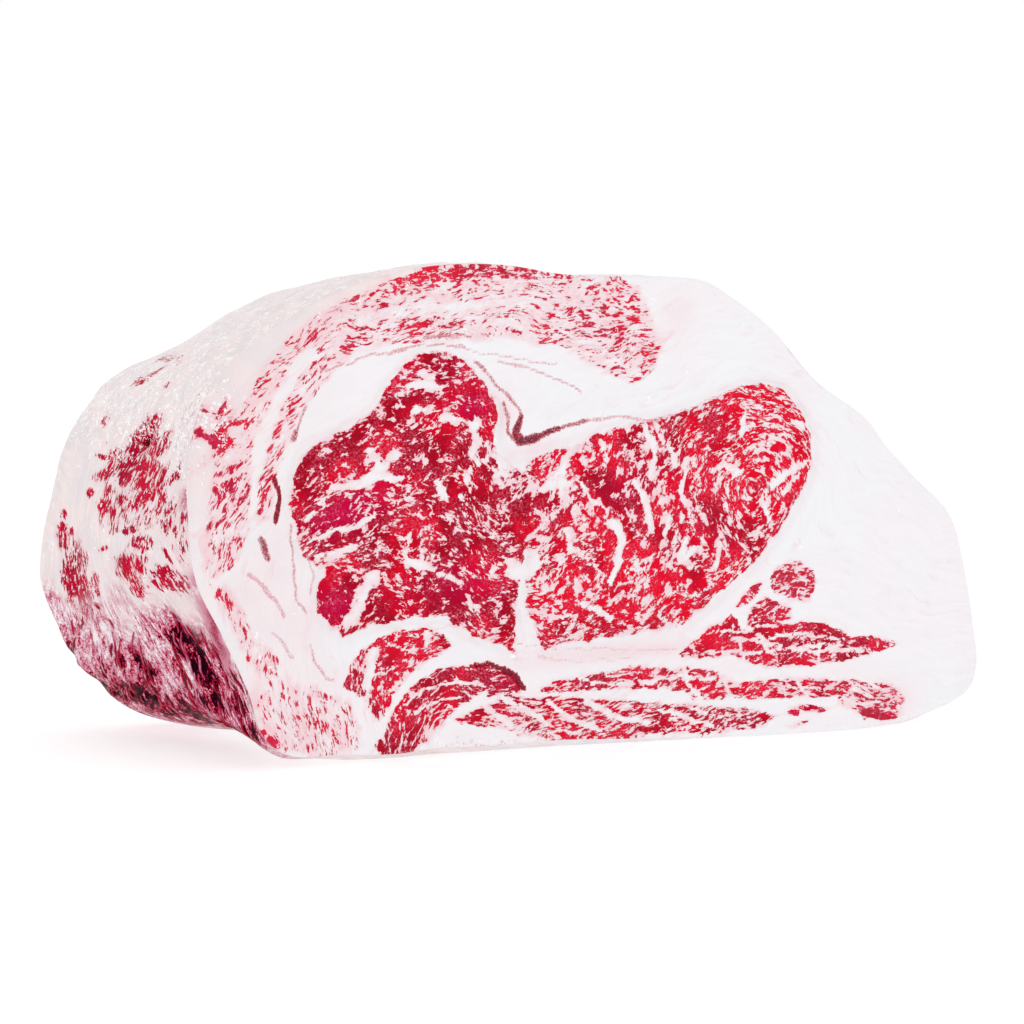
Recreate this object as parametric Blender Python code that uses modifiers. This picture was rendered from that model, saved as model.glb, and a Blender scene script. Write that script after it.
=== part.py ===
"""Raw ribeye beef block, cut straight across and standing on its edge.

One piece of meat is one solid. The body is a loft from the outline of the cut face back
through the block, smoothed by subdivision, then carved with the hollows, rolls and strands
of its outer skin and with the low relief of the muscles on its two cut faces.

While it is shaped, x runs along the cut face from its left edge, y runs from the cut face
into the block and z is up, all in millimetres. The finished mesh is in metres.
"""

import math

import bmesh
import bpy
import numpy as np
from mathutils import Vector, noise

MM = 0.001
NODE_NAME = "ribeye_block"

# Driving dimensions.
BLOCK_DEPTH = 135.0          # from the front cut to the back cut
EDGE_STEPS = 64              # cage points round the block
SIDE_STEPS = 10              # cage steps up the left and the right side of a cut face
SMOOTHING_LEVELS = 1

# Outline of the front cut, clockwise from its lower left corner, as (x, z).
CUT_EDGE = (
    (36.0, 4.5), (25.5, 12.5), (20.0, 28.5), (10.5, 48.5), (1.0, 68.5), (-1.0, 93.5),
    (0.5, 113.5), (8.0, 133.5), (22.0, 148.0), (42.0, 161.5), (64.0, 171.0), (90.0, 176.5),
    (118.0, 177.0), (143.0, 173.5), (170.0, 172.5), (197.0, 171.5), (211.5, 165.0),
    (230.0, 152.0), (248.0, 133.5), (269.0, 119.5), (279.5, 107.5), (291.0, 96.5),
    (307.5, 81.0), (314.0, 62.0), (318.5, 39.5), (320.5, 22.5), (315.5, 11.5), (298.0, 4.5),
    (275.0, 0.5),
    (245.0, 0.0), (210.0, 0.7), (175.0, 2.2), (140.0, 3.8), (112.0, 3.5), (95.0, 4.0),
    (76.0, 2.7), (52.0, 3.7),
)

# The loft's sections: how deep each lies, how far the left flank swells there and how far
# the shoulder along the top has dropped.
SECTIONS = (
    (0.0, 0.0, 0.0),
    (2.0, 0.0, 0.0),
    (9.0, -3.5, 0.0),
    (20.0, -1.0, 0.0),
    (40.0, 5.5, 0.9),
    (64.0, 12.3, 2.6),
    (88.0, 18.6, 4.5),
    (109.0, 22.0, 6.2),
    (124.0, 23.0, 7.3),
    (132.0, 22.8, 7.9),
    (135.0, 22.8, 8.1),
)
FLANK_X = (15.0, 105.0)      # the flank fades out between these x
FLANK_HEIGHT = 43.5          # where the flank swells most
FLANK_SPREAD = 56.0
SHOULDER_Z = (110.0, 175.0)  # the shoulder fades in between these z
FRONT_RIM = 1.2              # the front cut's edge is only just rounded
RIM_DEPTH = 5.0              # the foot starts to curl up this far behind it
BACK_ROUND_FLANK = 16.5      # the back edge is well rounded at the flank
BACK_ROUND = 8.0             # and less so everywhere else
LOW_Z = 32.0                 # the underside's forms fade out up to this height
HEEL_X = (25.0, 85.0)        # the flank's foot curls up off the table left of these x
FLANK_LIFT = 15.5
LIFT_BY = 57.0
UNDERSIDE_START = 2.0        # behind the front edge the underside settles onto the table
UNDERSIDE_FULL = 14.0
UNDERSIDE_SETTLES = 4.6

# Low relief of the cut faces: the muscles stand a little above the fat around them, with a
# shallow seam where they meet it.
EYE_MUSCLE = (
    (124.0, 99.5), (129.0, 106.5), (148.0, 112.0), (172.0, 119.5), (201.0, 126.0),
    (216.0, 132.0), (226.0, 133.5), (235.0, 131.0), (243.0, 122.5), (248.0, 103.5),
    (244.0, 92.5), (236.0, 80.5), (225.0, 67.0), (210.0, 55.5), (193.0, 43.5),
    (158.0, 39.5), (135.0, 36.0), (127.0, 57.5),
)
CROWN_MUSCLE = (
    (36.0, 93.5), (41.0, 111.0), (62.0, 121.5), (69.0, 126.5), (76.0, 137.5), (83.0, 144.0),
    (93.0, 147.5), (101.0, 145.5), (114.0, 132.0), (117.5, 123.5), (116.0, 113.5),
    (128.0, 101.5), (130.0, 81.5), (124.0, 51.5), (122.0, 36.0), (102.0, 43.5),
    (93.0, 49.0), (67.0, 48.0), (53.0, 50.0), (47.0, 63.5), (42.0, 73.5),
)
FAT_SINK = 1.0
SEAM_DEPTH = 1.8
SEAM_WIDTH = 4.0
MUSCLE_SHOULDER = 9.0
CUT_REACH = 1.0              # how near a point is to a cut face's plane to belong to it

# Forms of the flank's skin, as (depth, height, spread in depth, spread in height, rise).
FLANK_FORMS = (
    (51.0, 112.0, 8.0, 5.5, -7.0),     # open pocket
    (54.0, 124.0, 15.0, 7.0, 3.0),     # fat lip over the pocket
    (8.0, 117.0, 6.0, 13.0, 2.6),      # roll of fat beside the front edge
    (14.0, 97.0, 5.0, 8.0, -3.2),      # hollow behind the roll
    (13.0, 66.0, 5.0, 11.0, -3.2),     # hollow behind the front edge
    (45.0, 69.0, 13.0, 8.0, 1.6),
    (93.0, 68.0, 7.0, 14.0, -1.8),
    (34.0, 38.0, 5.0, 15.0, -3.0),     # dark furrow between the strands
)
FLANK_REACH = 34.0           # the flank's forms fade out to this x
STRAND_PITCH = 13.0          # strands of torn meat run down the flank's foot
STRAND_RISE = 1.9
STRAND_Z = (10.0, 20.0, 44.0, 58.0)
STRAND_END = (98.0, 118.0)   # and fade out before the back edge
FAN_DEPTH = 45.0             # they spread like a fan from this depth and height
FAN_HEIGHT = 110.0
FAN_DROP = 80.0              # and lie a pitch apart this far below it
LUMP_SIZE = 27.0
LUMP_RISE = 1.6
SKIN_START = (3.0, 16.0)     # lumps fade in behind the front edge
FOOT_Z = (2.0, 16.0)         # and above the flat underside

SKIN_COLOUR = (0.79, 0.47, 0.49, 1.0)
SKIN_ROUGHNESS = 0.38
WET_COAT = 0.35


def clear_scene():
    for obj in list(bpy.data.objects):
        bpy.data.objects.remove(obj, do_unlink=True)


def smooth_step(low, high, value):
    t = np.clip((value - low) / (high - low), 0.0, 1.0)
    return t * t * (3.0 - 2.0 * t)


def through_points(points, count, per_span=24):
    """Evenly spaced points on a smooth closed curve through the given ones."""
    points = np.array(points)
    before = np.roll(points, 1, axis=0)
    after = np.roll(points, -1, axis=0)
    beyond = np.roll(points, -2, axis=0)
    spans = []
    for t in np.arange(per_span) / per_span:
        linear = (after - before) * t
        square = (2.0 * before - 5.0 * points + 4.0 * after - beyond) * t ** 2
        cube = (3.0 * points - before - 3.0 * after + beyond) * t ** 3
        spans.append(points + 0.5 * (linear + square + cube))
    curve = np.stack(spans, axis=1).reshape(-1, 2)
    closed = np.vstack([curve, curve[:1]])
    length = np.concatenate([[0.0], np.cumsum(np.hypot(*np.diff(closed, axis=0).T))])
    wanted = np.arange(count) / count * length[-1]
    return np.stack([np.interp(wanted, length, closed[:, axis]) for axis in (0, 1)], axis=1)


def outward(points):
    """Unit normals of a clockwise outline, pointing away from the meat."""
    along = np.roll(points, -1, axis=0) - np.roll(points, 1, axis=0)
    across = np.stack([-along[:, 1], along[:, 0]], axis=1)
    return across / np.hypot(across[:, 0], across[:, 1])[:, None]


def back_round(depth, radius):
    """How far the surface has drawn in where the back edge is rounded."""
    t = np.clip((depth - BLOCK_DEPTH + radius) / radius, 0.0, 1.0)
    return radius * (1.0 - np.sqrt(1.0 - t * t)) * 0.9


def section(edge, normals, depth, swell, drop):
    """The outline of the block at one depth."""
    x, z = edge[:, 0], edge[:, 1]
    flank = 1.0 - smooth_step(*FLANK_X, x)
    belly = np.exp(-((z - FLANK_HEIGHT) / FLANK_SPREAD) ** 2)
    shoulder = smooth_step(*SHOULDER_Z, z)
    rise = flank * belly * swell - shoulder * drop * (1.0 + flank)
    rise -= flank * back_round(depth, BACK_ROUND_FLANK)
    rise -= (1.0 - flank) * back_round(depth, BACK_ROUND)
    if depth == 0.0:
        rise -= FRONT_RIM
    points = edge + normals * rise[:, None]
    low = 1.0 - smooth_step(0.0, LOW_Z, z)
    heel = (1.0 - smooth_step(*HEEL_X, x)) * smooth_step(RIM_DEPTH, LIFT_BY, depth)
    points[:, 1] += FLANK_LIFT * heel * low
    points[:, 1] -= UNDERSIDE_SETTLES * low * smooth_step(UNDERSIDE_START, UNDERSIDE_FULL, depth)
    points[:, 1] = np.maximum(points[:, 1], 0.0)
    return points


def cap_grid(ring):
    """A net of points stretched across a closed ring, whose four sides blend inwards."""
    rows = SIDE_STEPS
    columns = EDGE_STEPS // 2 - rows
    left = ring[:rows + 1]
    top = ring[rows:rows + columns + 1]
    right = ring[rows + columns:2 * rows + columns + 1][::-1]
    bottom = np.concatenate([ring[2 * rows + columns:], ring[:1]])[::-1]
    net = np.empty((rows + 1, columns + 1, 2))
    for row in range(rows + 1):
        v = row / rows
        for column in range(columns + 1):
            u = column / columns
            sides = (1 - u) * left[row] + u * right[row]
            ends = (1 - v) * bottom[column] + v * top[column]
            corners = (1 - u) * (1 - v) * left[0] + u * (1 - v) * right[0]
            corners = corners + (1 - u) * v * left[-1] + u * v * right[-1]
            net[row, column] = sides + ends - corners
    return net


def add_cap(cage, ring_verts, ring_points, depth):
    """Fill one end of the loft with the net of cap_grid, sharing the ring's points."""
    rows = SIDE_STEPS
    columns = EDGE_STEPS // 2 - rows
    net = cap_grid(ring_points)
    shared = {}
    for index in range(rows + 1):
        shared[index, 0] = ring_verts[index]
        shared[rows - index, columns] = ring_verts[rows + columns + index]
    for index in range(columns + 1):
        shared[rows, index] = ring_verts[rows + index]
        shared[0, columns - index] = ring_verts[(2 * rows + columns + index) % EDGE_STEPS]
    for row in range(1, rows):
        for column in range(1, columns):
            x, z = net[row, column]
            shared[row, column] = cage.verts.new((x, depth, z))
    for row in range(rows):
        for column in range(columns):
            around = (row, column), (row, column + 1), (row + 1, column + 1), (row + 1, column)
            cage.faces.new([shared[place] for place in around])


def build_cage():
    """The coarse closed cage: the loft's rings and a net across each end."""
    edge = through_points(CUT_EDGE, EDGE_STEPS)
    normals = outward(edge)
    cage = bmesh.new()
    rings = []
    for depth, swell, drop in SECTIONS:
        points = section(edge, normals, depth, swell, drop)
        rings.append(([cage.verts.new((x, depth, z)) for x, z in points], points, depth))
    for (near, _, _), (far, _, _) in zip(rings, rings[1:]):
        for index in range(EDGE_STEPS):
            after = (index + 1) % EDGE_STEPS
            cage.faces.new((near[index], near[after], far[after], far[index]))
    add_cap(cage, *rings[0])
    add_cap(cage, *rings[-1])
    bmesh.ops.recalc_face_normals(cage, faces=cage.faces)
    mesh = bpy.data.meshes.new(NODE_NAME)
    cage.to_mesh(mesh)
    cage.free()
    return mesh


def smooth_cage(mesh, collection):
    """Subdivide the cage and keep the smoothed result as a plain mesh."""
    cage = bpy.data.objects.new("cage", mesh)
    collection.objects.link(cage)
    subdivision = cage.modifiers.new("smooth", "SUBSURF")
    subdivision.levels = SMOOTHING_LEVELS
    subdivision.render_levels = SMOOTHING_LEVELS
    evaluated = cage.evaluated_get(bpy.context.evaluated_depsgraph_get())
    smoothed = bpy.data.meshes.new_from_object(evaluated)
    bpy.data.objects.remove(cage)
    bpy.data.meshes.remove(mesh)
    return smoothed


def inside_distance(x, z, outline):
    """Distance from a muscle's outline, positive inside it."""
    nearest = math.inf
    inside = False
    for (x0, z0), (x1, z1) in zip(outline, outline[1:] + outline[:1]):
        run, rise = x1 - x0, z1 - z0
        t = ((x - x0) * run + (z - z0) * rise) / (run * run + rise * rise)
        t = min(max(t, 0.0), 1.0)
        nearest = min(nearest, math.hypot(x - x0 - t * run, z - z0 - t * rise))
        if (z0 > z) != (z1 > z) and x < x0 + (z - z0) / rise * run:
            inside = not inside
    return nearest if inside else -nearest


def cut_relief(point):
    """How far the cut face sinks at a point: level on a muscle, lower on fat and seams."""
    outlines = (EYE_MUSCLE, CROWN_MUSCLE)
    reach = max(inside_distance(point.x, point.z, outline) for outline in outlines)
    seam = SEAM_DEPTH * math.exp(-(reach / SEAM_WIDTH) ** 2)
    fat = FAT_SINK * (1.0 - smooth_step(-SEAM_WIDTH, MUSCLE_SHOULDER, reach))
    return seam + fat


def skin_relief(point):
    """How far the outer skin rises at a point, from its lumps, forms and strands."""
    skin = smooth_step(*SKIN_START, point.y) * smooth_step(*FOOT_Z, point.z)
    skin *= 1.0 - smooth_step(BLOCK_DEPTH - BACK_ROUND, BLOCK_DEPTH, point.y)
    rise = LUMP_RISE * noise.noise(point / LUMP_SIZE) * skin
    flank = 1.0 - smooth_step(0.0, FLANK_REACH, point.x)
    for depth, height, depth_spread, height_spread, form_rise in FLANK_FORMS:
        away = ((point.y - depth) / depth_spread) ** 2 + ((point.z - height) / height_spread) ** 2
        rise += form_rise * math.exp(-away) * flank
    low, low_full, high_full, high = STRAND_Z
    band = smooth_step(low, low_full, point.z) * (1.0 - smooth_step(high_full, high, point.z))
    spread = (point.y - FAN_DEPTH) * FAN_DROP / max(FAN_HEIGHT - point.z, FAN_DROP / 2.0)
    phase = 2.0 * math.pi * spread / STRAND_PITCH
    band *= flank * skin * (1.0 - smooth_step(*STRAND_END, point.y))
    return rise + STRAND_RISE * math.sin(phase) * band


def carve(mesh):
    """Press the relief of the cut faces and of the skin into the smoothed mesh."""
    shape = bmesh.new()
    shape.from_mesh(mesh)
    shape.normal_update()
    moves = []
    for vert in shape.verts:
        point = vert.co
        on_front = point.y < CUT_REACH and vert.normal.y < -0.9
        on_back = point.y > BLOCK_DEPTH - CUT_REACH and vert.normal.y > 0.9
        if on_front or on_back:
            moves.append(Vector((0.0, cut_relief(point) * (1.0 if on_front else -1.0), 0.0)))
        else:
            moves.append(vert.normal * skin_relief(point))
    for vert, move in zip(shape.verts, moves):
        vert.co += move
        vert.co.z = max(vert.co.z, 0.0)
    shape.to_mesh(mesh)
    shape.free()


def to_origin(mesh):
    """Metres, with the origin at the bottom centre of the block's box."""
    points = np.empty(len(mesh.vertices) * 3)
    mesh.vertices.foreach_get("co", points)
    points = points.reshape(-1, 3)
    middle = (points.min(axis=0) + points.max(axis=0)) / 2.0
    middle[2] = points[:, 2].min()
    mesh.vertices.foreach_set("co", ((points - middle) * MM).ravel())
    mesh.update()


def meat_material():
    material = bpy.data.materials.new("marbled_beef")
    material.use_nodes = True
    shader = material.node_tree.nodes["Principled BSDF"]
    shader.inputs["Base Color"].default_value = SKIN_COLOUR
    shader.inputs["Roughness"].default_value = SKIN_ROUGHNESS
    shader.inputs["Metallic"].default_value = 0.0
    shader.inputs["Coat Weight"].default_value = WET_COAT
    material.diffuse_color = SKIN_COLOUR
    return material


def main():
    clear_scene()
    collection = bpy.data.collections.new("raw_ribeye_block")
    bpy.context.scene.collection.children.link(collection)
    mesh = smooth_cage(build_cage(), collection)
    carve(mesh)
    to_origin(mesh)
    mesh.name = NODE_NAME
    mesh.materials.clear()
    mesh.materials.append(meat_material())
    mesh.shade_smooth()
    block = bpy.data.objects.new(NODE_NAME, mesh)
    collection.objects.link(block)


main()
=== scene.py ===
import math

import bpy
import numpy as np
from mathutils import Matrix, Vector, noise


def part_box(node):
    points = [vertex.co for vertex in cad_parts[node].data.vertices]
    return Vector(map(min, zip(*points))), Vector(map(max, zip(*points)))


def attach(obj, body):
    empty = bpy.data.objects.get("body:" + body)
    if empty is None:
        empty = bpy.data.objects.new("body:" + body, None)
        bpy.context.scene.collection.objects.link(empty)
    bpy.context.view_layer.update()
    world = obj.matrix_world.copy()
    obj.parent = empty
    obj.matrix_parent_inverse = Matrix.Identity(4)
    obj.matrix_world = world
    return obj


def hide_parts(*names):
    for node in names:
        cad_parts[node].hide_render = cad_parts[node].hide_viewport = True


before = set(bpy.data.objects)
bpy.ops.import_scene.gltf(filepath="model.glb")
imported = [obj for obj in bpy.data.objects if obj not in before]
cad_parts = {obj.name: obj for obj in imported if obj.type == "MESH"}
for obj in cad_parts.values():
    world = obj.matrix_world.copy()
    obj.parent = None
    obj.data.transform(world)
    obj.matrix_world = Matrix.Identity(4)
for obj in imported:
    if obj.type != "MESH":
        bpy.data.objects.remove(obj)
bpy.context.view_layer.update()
lowCorner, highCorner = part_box("ribeye_block")
print("packed block loaded")

# Everything is laid out in mm on the front cut: x from its left edge, y into the block, z up.
mm = 0.001
block = {
    "depth": 135.0,
    "rightEdge": 320.5,
    # outline of the front cut, clockwise from the lower left corner
    "outline": [
        (36, 4.5), (25.5, 12.5), (20, 28.5), (10.5, 48.5), (1, 68.5), (-1, 93.5), (0.5, 113.5),
        (8, 133.5), (22, 148), (42, 161.5), (64, 171), (90, 176.5), (118, 177), (143, 173.5),
        (170, 172.5), (197, 171.5), (211.5, 165), (230, 152), (248, 133.5), (269, 119.5),
        (279.5, 107.5), (291, 96.5), (307.5, 81), (314, 62), (318.5, 39.5), (320.5, 22.5),
        (315.5, 11.5), (298, 4.5), (275, 0.5), (245, 0), (210, 0.7), (175, 2.2), (140, 3.8),
        (112, 3.5), (95, 4), (76, 2.7), (52, 3.7)],
    # depth, swell of the left flank, drop of the shoulder
    "profile": [
        (0, 0, 0), (2, -0.6, 0), (9, -3, 0), (20, -1, 0.1), (40, 5.5, 0.9), (64, 12.3, 2.6),
        (88, 18.4, 4.5), (109, 21.8, 6.2), (124, 22.9, 7.3), (132, 22.8, 7.9), (135, 22.8, 8.1)],
    "flankFade": (15, 105),       # x over which the swell and all that is flank fades out
    "belly": (43.5, 56.0),        # height where the flank swells most, and its reach
    "shoulder": (110, 175),       # heights over which the drop of the shoulder sets in
    "flankRound": 16.5,           # roundings at the back
    "backRound": 8.0,
    "foot": 32.0,                 # height below which the flank's foot and the underside bend
    "heelLift": 15.5,             # the flank's foot curls up off the table
    "heelFade": (25, 85),
    "heelDepth": (5, 57),
    "settle": 4.6,                # behind the front edge the underside settles onto it
    "settleDepth": (2, 14),
    "edgeRadius": (1.1, 3.4),     # of the crisp front edge, and what its soft part adds
}


# mm on the block to metres in the shared frame
def toWorld(points):
    points = np.asarray(points, float) * mm
    shift = (highCorner[0] - block["rightEdge"] * mm, lowCorner[1], lowCorner[2])
    return points + np.array(shift)


# 0 below low, 1 above high, smooth between
def ease(low, high, value):
    t = np.clip((value - low) / (high - low), 0, 1)
    return t * t * (3 - 2 * t)


# dense smooth closed line through the points, and its running length
def closedCurve(points, perSpan=40):
    p = np.array(points, float)
    before, after, beyond = np.roll(p, 1, 0), np.roll(p, -1, 0), np.roll(p, -2, 0)
    spans = []
    for t in np.arange(perSpan) / perSpan:
        spans.append(p + 0.5 * ((after - before) * t
                                + (2 * before - 5 * p + 4 * after - beyond) * t ** 2
                                + (3 * p - before - 3 * after + beyond) * t ** 3))
    line = np.stack(spans, 1).reshape(-1, 2)
    line = np.vstack([line, line[:1]])
    return line, np.concatenate([[0], np.cumsum(np.hypot(*np.diff(line, axis=0).T))])


edgeLine, edgeLength = closedCurve(block["outline"])


# points on the outline at these shares of its length
def edgePoints(where):
    where = np.asarray(where) % 1 * edgeLength[-1]
    return np.stack([np.interp(where, edgeLength, edgeLine[:, k]) for k in (0, 1)], 1)


def edgeNormals(where):
    along = edgePoints(where + 0.006) - edgePoints(where - 0.006)
    across = np.stack([-along[:, 1], along[:, 0]], 1)
    return across / np.hypot(across[:, 0], across[:, 1])[:, None]


# smooth curve through one column of the profile
def alongProfile(depth, column):
    table = np.array(block["profile"], float)
    slope = np.gradient(table[:, column], table[:, 0])
    k = np.clip(np.searchsorted(table[:, 0], depth, "right") - 1, 0, len(table) - 2)
    step = table[k + 1, 0] - table[k, 0]
    t = (depth - table[k, 0]) / step
    a, b = table[k, column], table[k + 1, column]
    return ((2 * t ** 3 - 3 * t ** 2 + 1) * a + (t ** 3 - 2 * t ** 2 + t) * step * slope[k]
            + (3 * t ** 2 - 2 * t ** 3) * b + (t ** 3 - t ** 2) * step * slope[k + 1])


# how far the back edge is drawn in by its rounding
def drawnIn(depth, radius):
    t = np.clip((depth - block["depth"] + radius) / radius, 0, 1)
    return radius * (1 - np.sqrt(1 - t * t)) * 0.9


# the block's outline at one depth, or at a depth of its own for each point
def ringAt(where, depth, inset=0.0):
    edge, normals = edgePoints(where), edgeNormals(where)
    x, z = edge[:, 0], edge[:, 1]
    height, reach = block["belly"]
    flank = 1 - ease(*block["flankFade"], x)
    rise = flank * np.exp(-((z - height) / reach) ** 2) * alongProfile(depth, 1)
    rise -= ease(*block["shoulder"], z) * alongProfile(depth, 2) * (1 + flank)
    rise -= flank * drawnIn(depth, block["flankRound"])
    rise -= (1 - flank) * drawnIn(depth, block["backRound"]) + inset
    points = edge + normals * rise[:, None]
    low = 1 - ease(0, block["foot"], z)
    heel = (1 - ease(*block["heelFade"], x)) * ease(*block["heelDepth"], depth)
    settled = block["settle"] * ease(*block["settleDepth"], depth)
    points[:, 1] += (block["heelLift"] * heel - settled) * low
    points[:, 1] = np.maximum(points[:, 1], 0.0)
    return points


# the front edge is crisp, but rolls over softly up the left side
def rimRadius(where):
    x, z = edgePoints(where).T
    soft = (1 - ease(8, 60, x)) * ease(70, 105, z) * (1 - ease(150, 172, z))
    crisp, added = block["edgeRadius"]
    return crisp + added * soft


# Where fat and lean lie on a cut. Outlines are traced in mm; fat is the share of fat inside,
# dash how strongly the lean breaks up into dashes along the grain, pale how pink the lean is
# and tint runs from dark to bright.
zones = {
    "crown": {"fat": 0.345, "dash": 0.0, "pale": 0.05, "tint": 0.35, "edge": 1.2, "outline": [
        (36, 92), (38, 101), (41, 109.5), (50, 115), (62, 120), (69, 125), (76, 136), (83, 142.5),
        (93, 146), (101, 144), (108, 138), (114, 130.5), (117.5, 122), (116, 112), (121, 106),
        (128, 100), (130, 80), (127, 62), (124, 50), (126, 40), (124, 33.5), (120, 37),
        (112, 40), (102, 44), (96, 49), (84, 49.5), (67, 47.5), (57, 43.5), (52, 48),
        (47, 53), (46.5, 61), (50, 68), (42, 72), (39, 80)]},
    "eye": {"fat": 0.4, "dash": 0.0, "pale": 0.1, "tint": 0.6, "edge": 1.2, "outline": [
        (124, 98), (129, 105), (138, 108.5), (148, 110.5), (160, 115), (172, 118), (186, 120),
        (201, 124.5), (216, 130.5), (226, 132), (235, 129.5), (243, 121), (247, 112), (248, 102),
        (244, 91), (236, 79), (225, 65.5), (210, 54), (193, 42), (176, 39.5), (158, 38),
        (143, 37), (135, 34.5), (130, 45), (127, 56), (128, 75)]},
    "corner": {"fat": 0.37, "dash": 0.0, "pale": 0.15, "tint": 0.4, "edge": 1.2, "outline": [
        (56, 26), (59, 35), (66, 41.5), (76, 46), (88, 47), (95, 44.5), (100, 39), (92, 34.5),
        (83, 30), (77, 22), (70, 12), (64, 13), (63, 22)]},
    "arch": {"fat": 0.345, "dash": 0.75, "pale": 0.2, "tint": 0.4, "edge": 1.2, "outline": [
        (66, 2), (72, 11), (77, 20), (84, 27), (93, 31.5), (104, 32.4), (109, 32.2), (113.5, 31),
        (117.5, 29.6), (121, 27.8), (124, 25.4), (126, 23), (127.2, 20.5), (122, 20),
        (112, 19.5), (100, 14), (94, 9), (90, 5), (80, 1)]},
    "lowStrip": {"fat": 0.43, "dash": 0.9, "pale": 0.1, "tint": 0.5, "edge": 1.2, "outline": [
        (96, 12), (108, 16), (120, 20.5), (133, 19), (148, 18), (160, 16.5), (178, 14.5),
        (200, 12.4), (222, 10), (234, 6), (226, 1.6), (200, 0.6), (180, 1.4), (160, 1.6),
        (145, 0.8), (134, 2.5), (126, 3), (120, 7), (108, 8.6)]},
    "highStrip": {"fat": 0.412, "dash": 0.45, "pale": 0.25, "tint": 0.5, "edge": 1.2, "outline": [
        (131, 20), (138, 24.5), (157, 26.5), (170, 28.5), (186, 26.5), (198, 26.5), (208, 24),
        (215, 20), (232, 20.5), (250, 19.5), (270, 18), (262, 11), (240, 11.5), (222, 12),
        (208, 13), (196, 13.5), (190, 18), (170, 19.5), (150, 19), (138, 19)]},
    "tip": {"fat": 0.5, "dash": 0.3, "pale": 0.6, "tint": 0.5, "edge": 1.6, "outline": [
        (254, 17), (270, 17.5), (283, 15.5), (289, 11), (289, 5), (281, 1), (270, 2), (260, 8)]},
    "band": {"fat": 0.32, "dash": 0.5, "pale": 0.25, "tint": 0.4, "edge": 1.2, "outline": [
        (190, 31.5), (196, 36), (202, 40), (213, 46), (216, 41.5), (224, 40), (240, 41),
        (251, 41), (258, 38.5), (264, 35), (276, 34), (287, 30.5), (278, 27.5), (268, 26),
        (258, 24), (248, 24), (236, 24), (226, 24.5), (218, 27), (212, 29.5), (200, 29),
        (192, 29.5)]},
    "lobeOne": {"fat": 0.47, "dash": 0.3, "pale": 0.6, "tint": 0.5, "edge": 0.9, "outline": [
        (228, 55), (230, 61), (236, 64.5), (242, 64.5), (247, 61), (249.5, 57), (248, 51),
        (243, 48), (236, 50), (230, 52)]},
    "lobeTwo": {"fat": 0.4, "dash": 0.3, "pale": 0.4, "tint": 0.4, "edge": 0.9, "outline": [
        (218, 41), (220, 48), (226, 52), (233, 49.5), (239, 47), (239, 42), (230, 40),
        (222, 39)]},
    "sliver": {"fat": 0.36, "dash": 0.8, "pale": 0.3, "tint": 0.5, "edge": 1.2, "outline": [
        (213, 46.5), (216, 51), (221, 56), (227, 58), (225, 53), (219, 48)]},
    "cap": {"fat": 0.56, "dash": 0.6, "pale": 0.5, "tint": 0.6, "edge": 1.8, "outline": [
        (30, 143), (40, 153), (55, 163), (70, 170), (90, 175.5), (112, 176.5), (135, 173.5),
        (150, 172), (165, 171.5), (173, 168), (178, 161), (180, 152), (190, 152), (183, 143),
        (180, 135), (170, 130), (160, 136), (150, 140), (141, 145), (120, 148.5), (105, 148),
        (90, 147), (75, 147), (60, 145), (50, 138), (44, 146), (36, 144)]},
    "outerStrip": {"fat": 0.59, "dash": 0.8, "pale": 0.55, "tint": 0.6, "edge": 1.6, "outline": [
        (58, 166), (47, 160), (36, 152), (26, 141), (19, 129), (13, 117), (9, 103), (8, 90),
        (14, 84), (18, 95), (21, 106), (25, 118), (31, 130), (39, 142), (50, 152), (62, 159)]},
    "innerStrip": {"fat": 0.57, "dash": 0.8, "pale": 0.55, "tint": 0.6, "edge": 1.6, "outline": [
        (62, 153), (50, 147), (40, 138), (33, 127), (28, 113), (24, 100), (24, 86), (29, 86),
        (31, 98), (35, 109), (40, 121), (48, 132), (62, 145)]},
    "leftColumn": {"fat": 0.575, "dash": 0.45, "pale": 0.5, "tint": 0.5, "edge": 1.6, "outline": [
        (3, 66), (0, 90), (2, 110), (5, 127), (12, 132), (19, 126), (23, 112), (23, 96),
        (21, 80), (14, 68)]},
    "leftSlant": {"fat": 0.605, "dash": 0.45, "pale": 0.65, "tint": 0.6, "edge": 1.6, "outline": [
        (5, 68), (14, 63), (20, 55), (24, 46), (31, 40), (37, 32), (36, 26), (29, 26),
        (23, 34), (17, 42), (11, 52), (6, 60)]},
    "leftFoot": {"fat": 0.6, "dash": 0.6, "pale": 0.6, "tint": 0.7, "edge": 1.6, "outline": [
        (21, 22), (25, 12), (31, 5), (45, 2), (60, 2), (66, 4), (63, 14), (60, 22),
        (52, 24), (44, 29), (34, 30), (26, 27)]},
}
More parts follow.
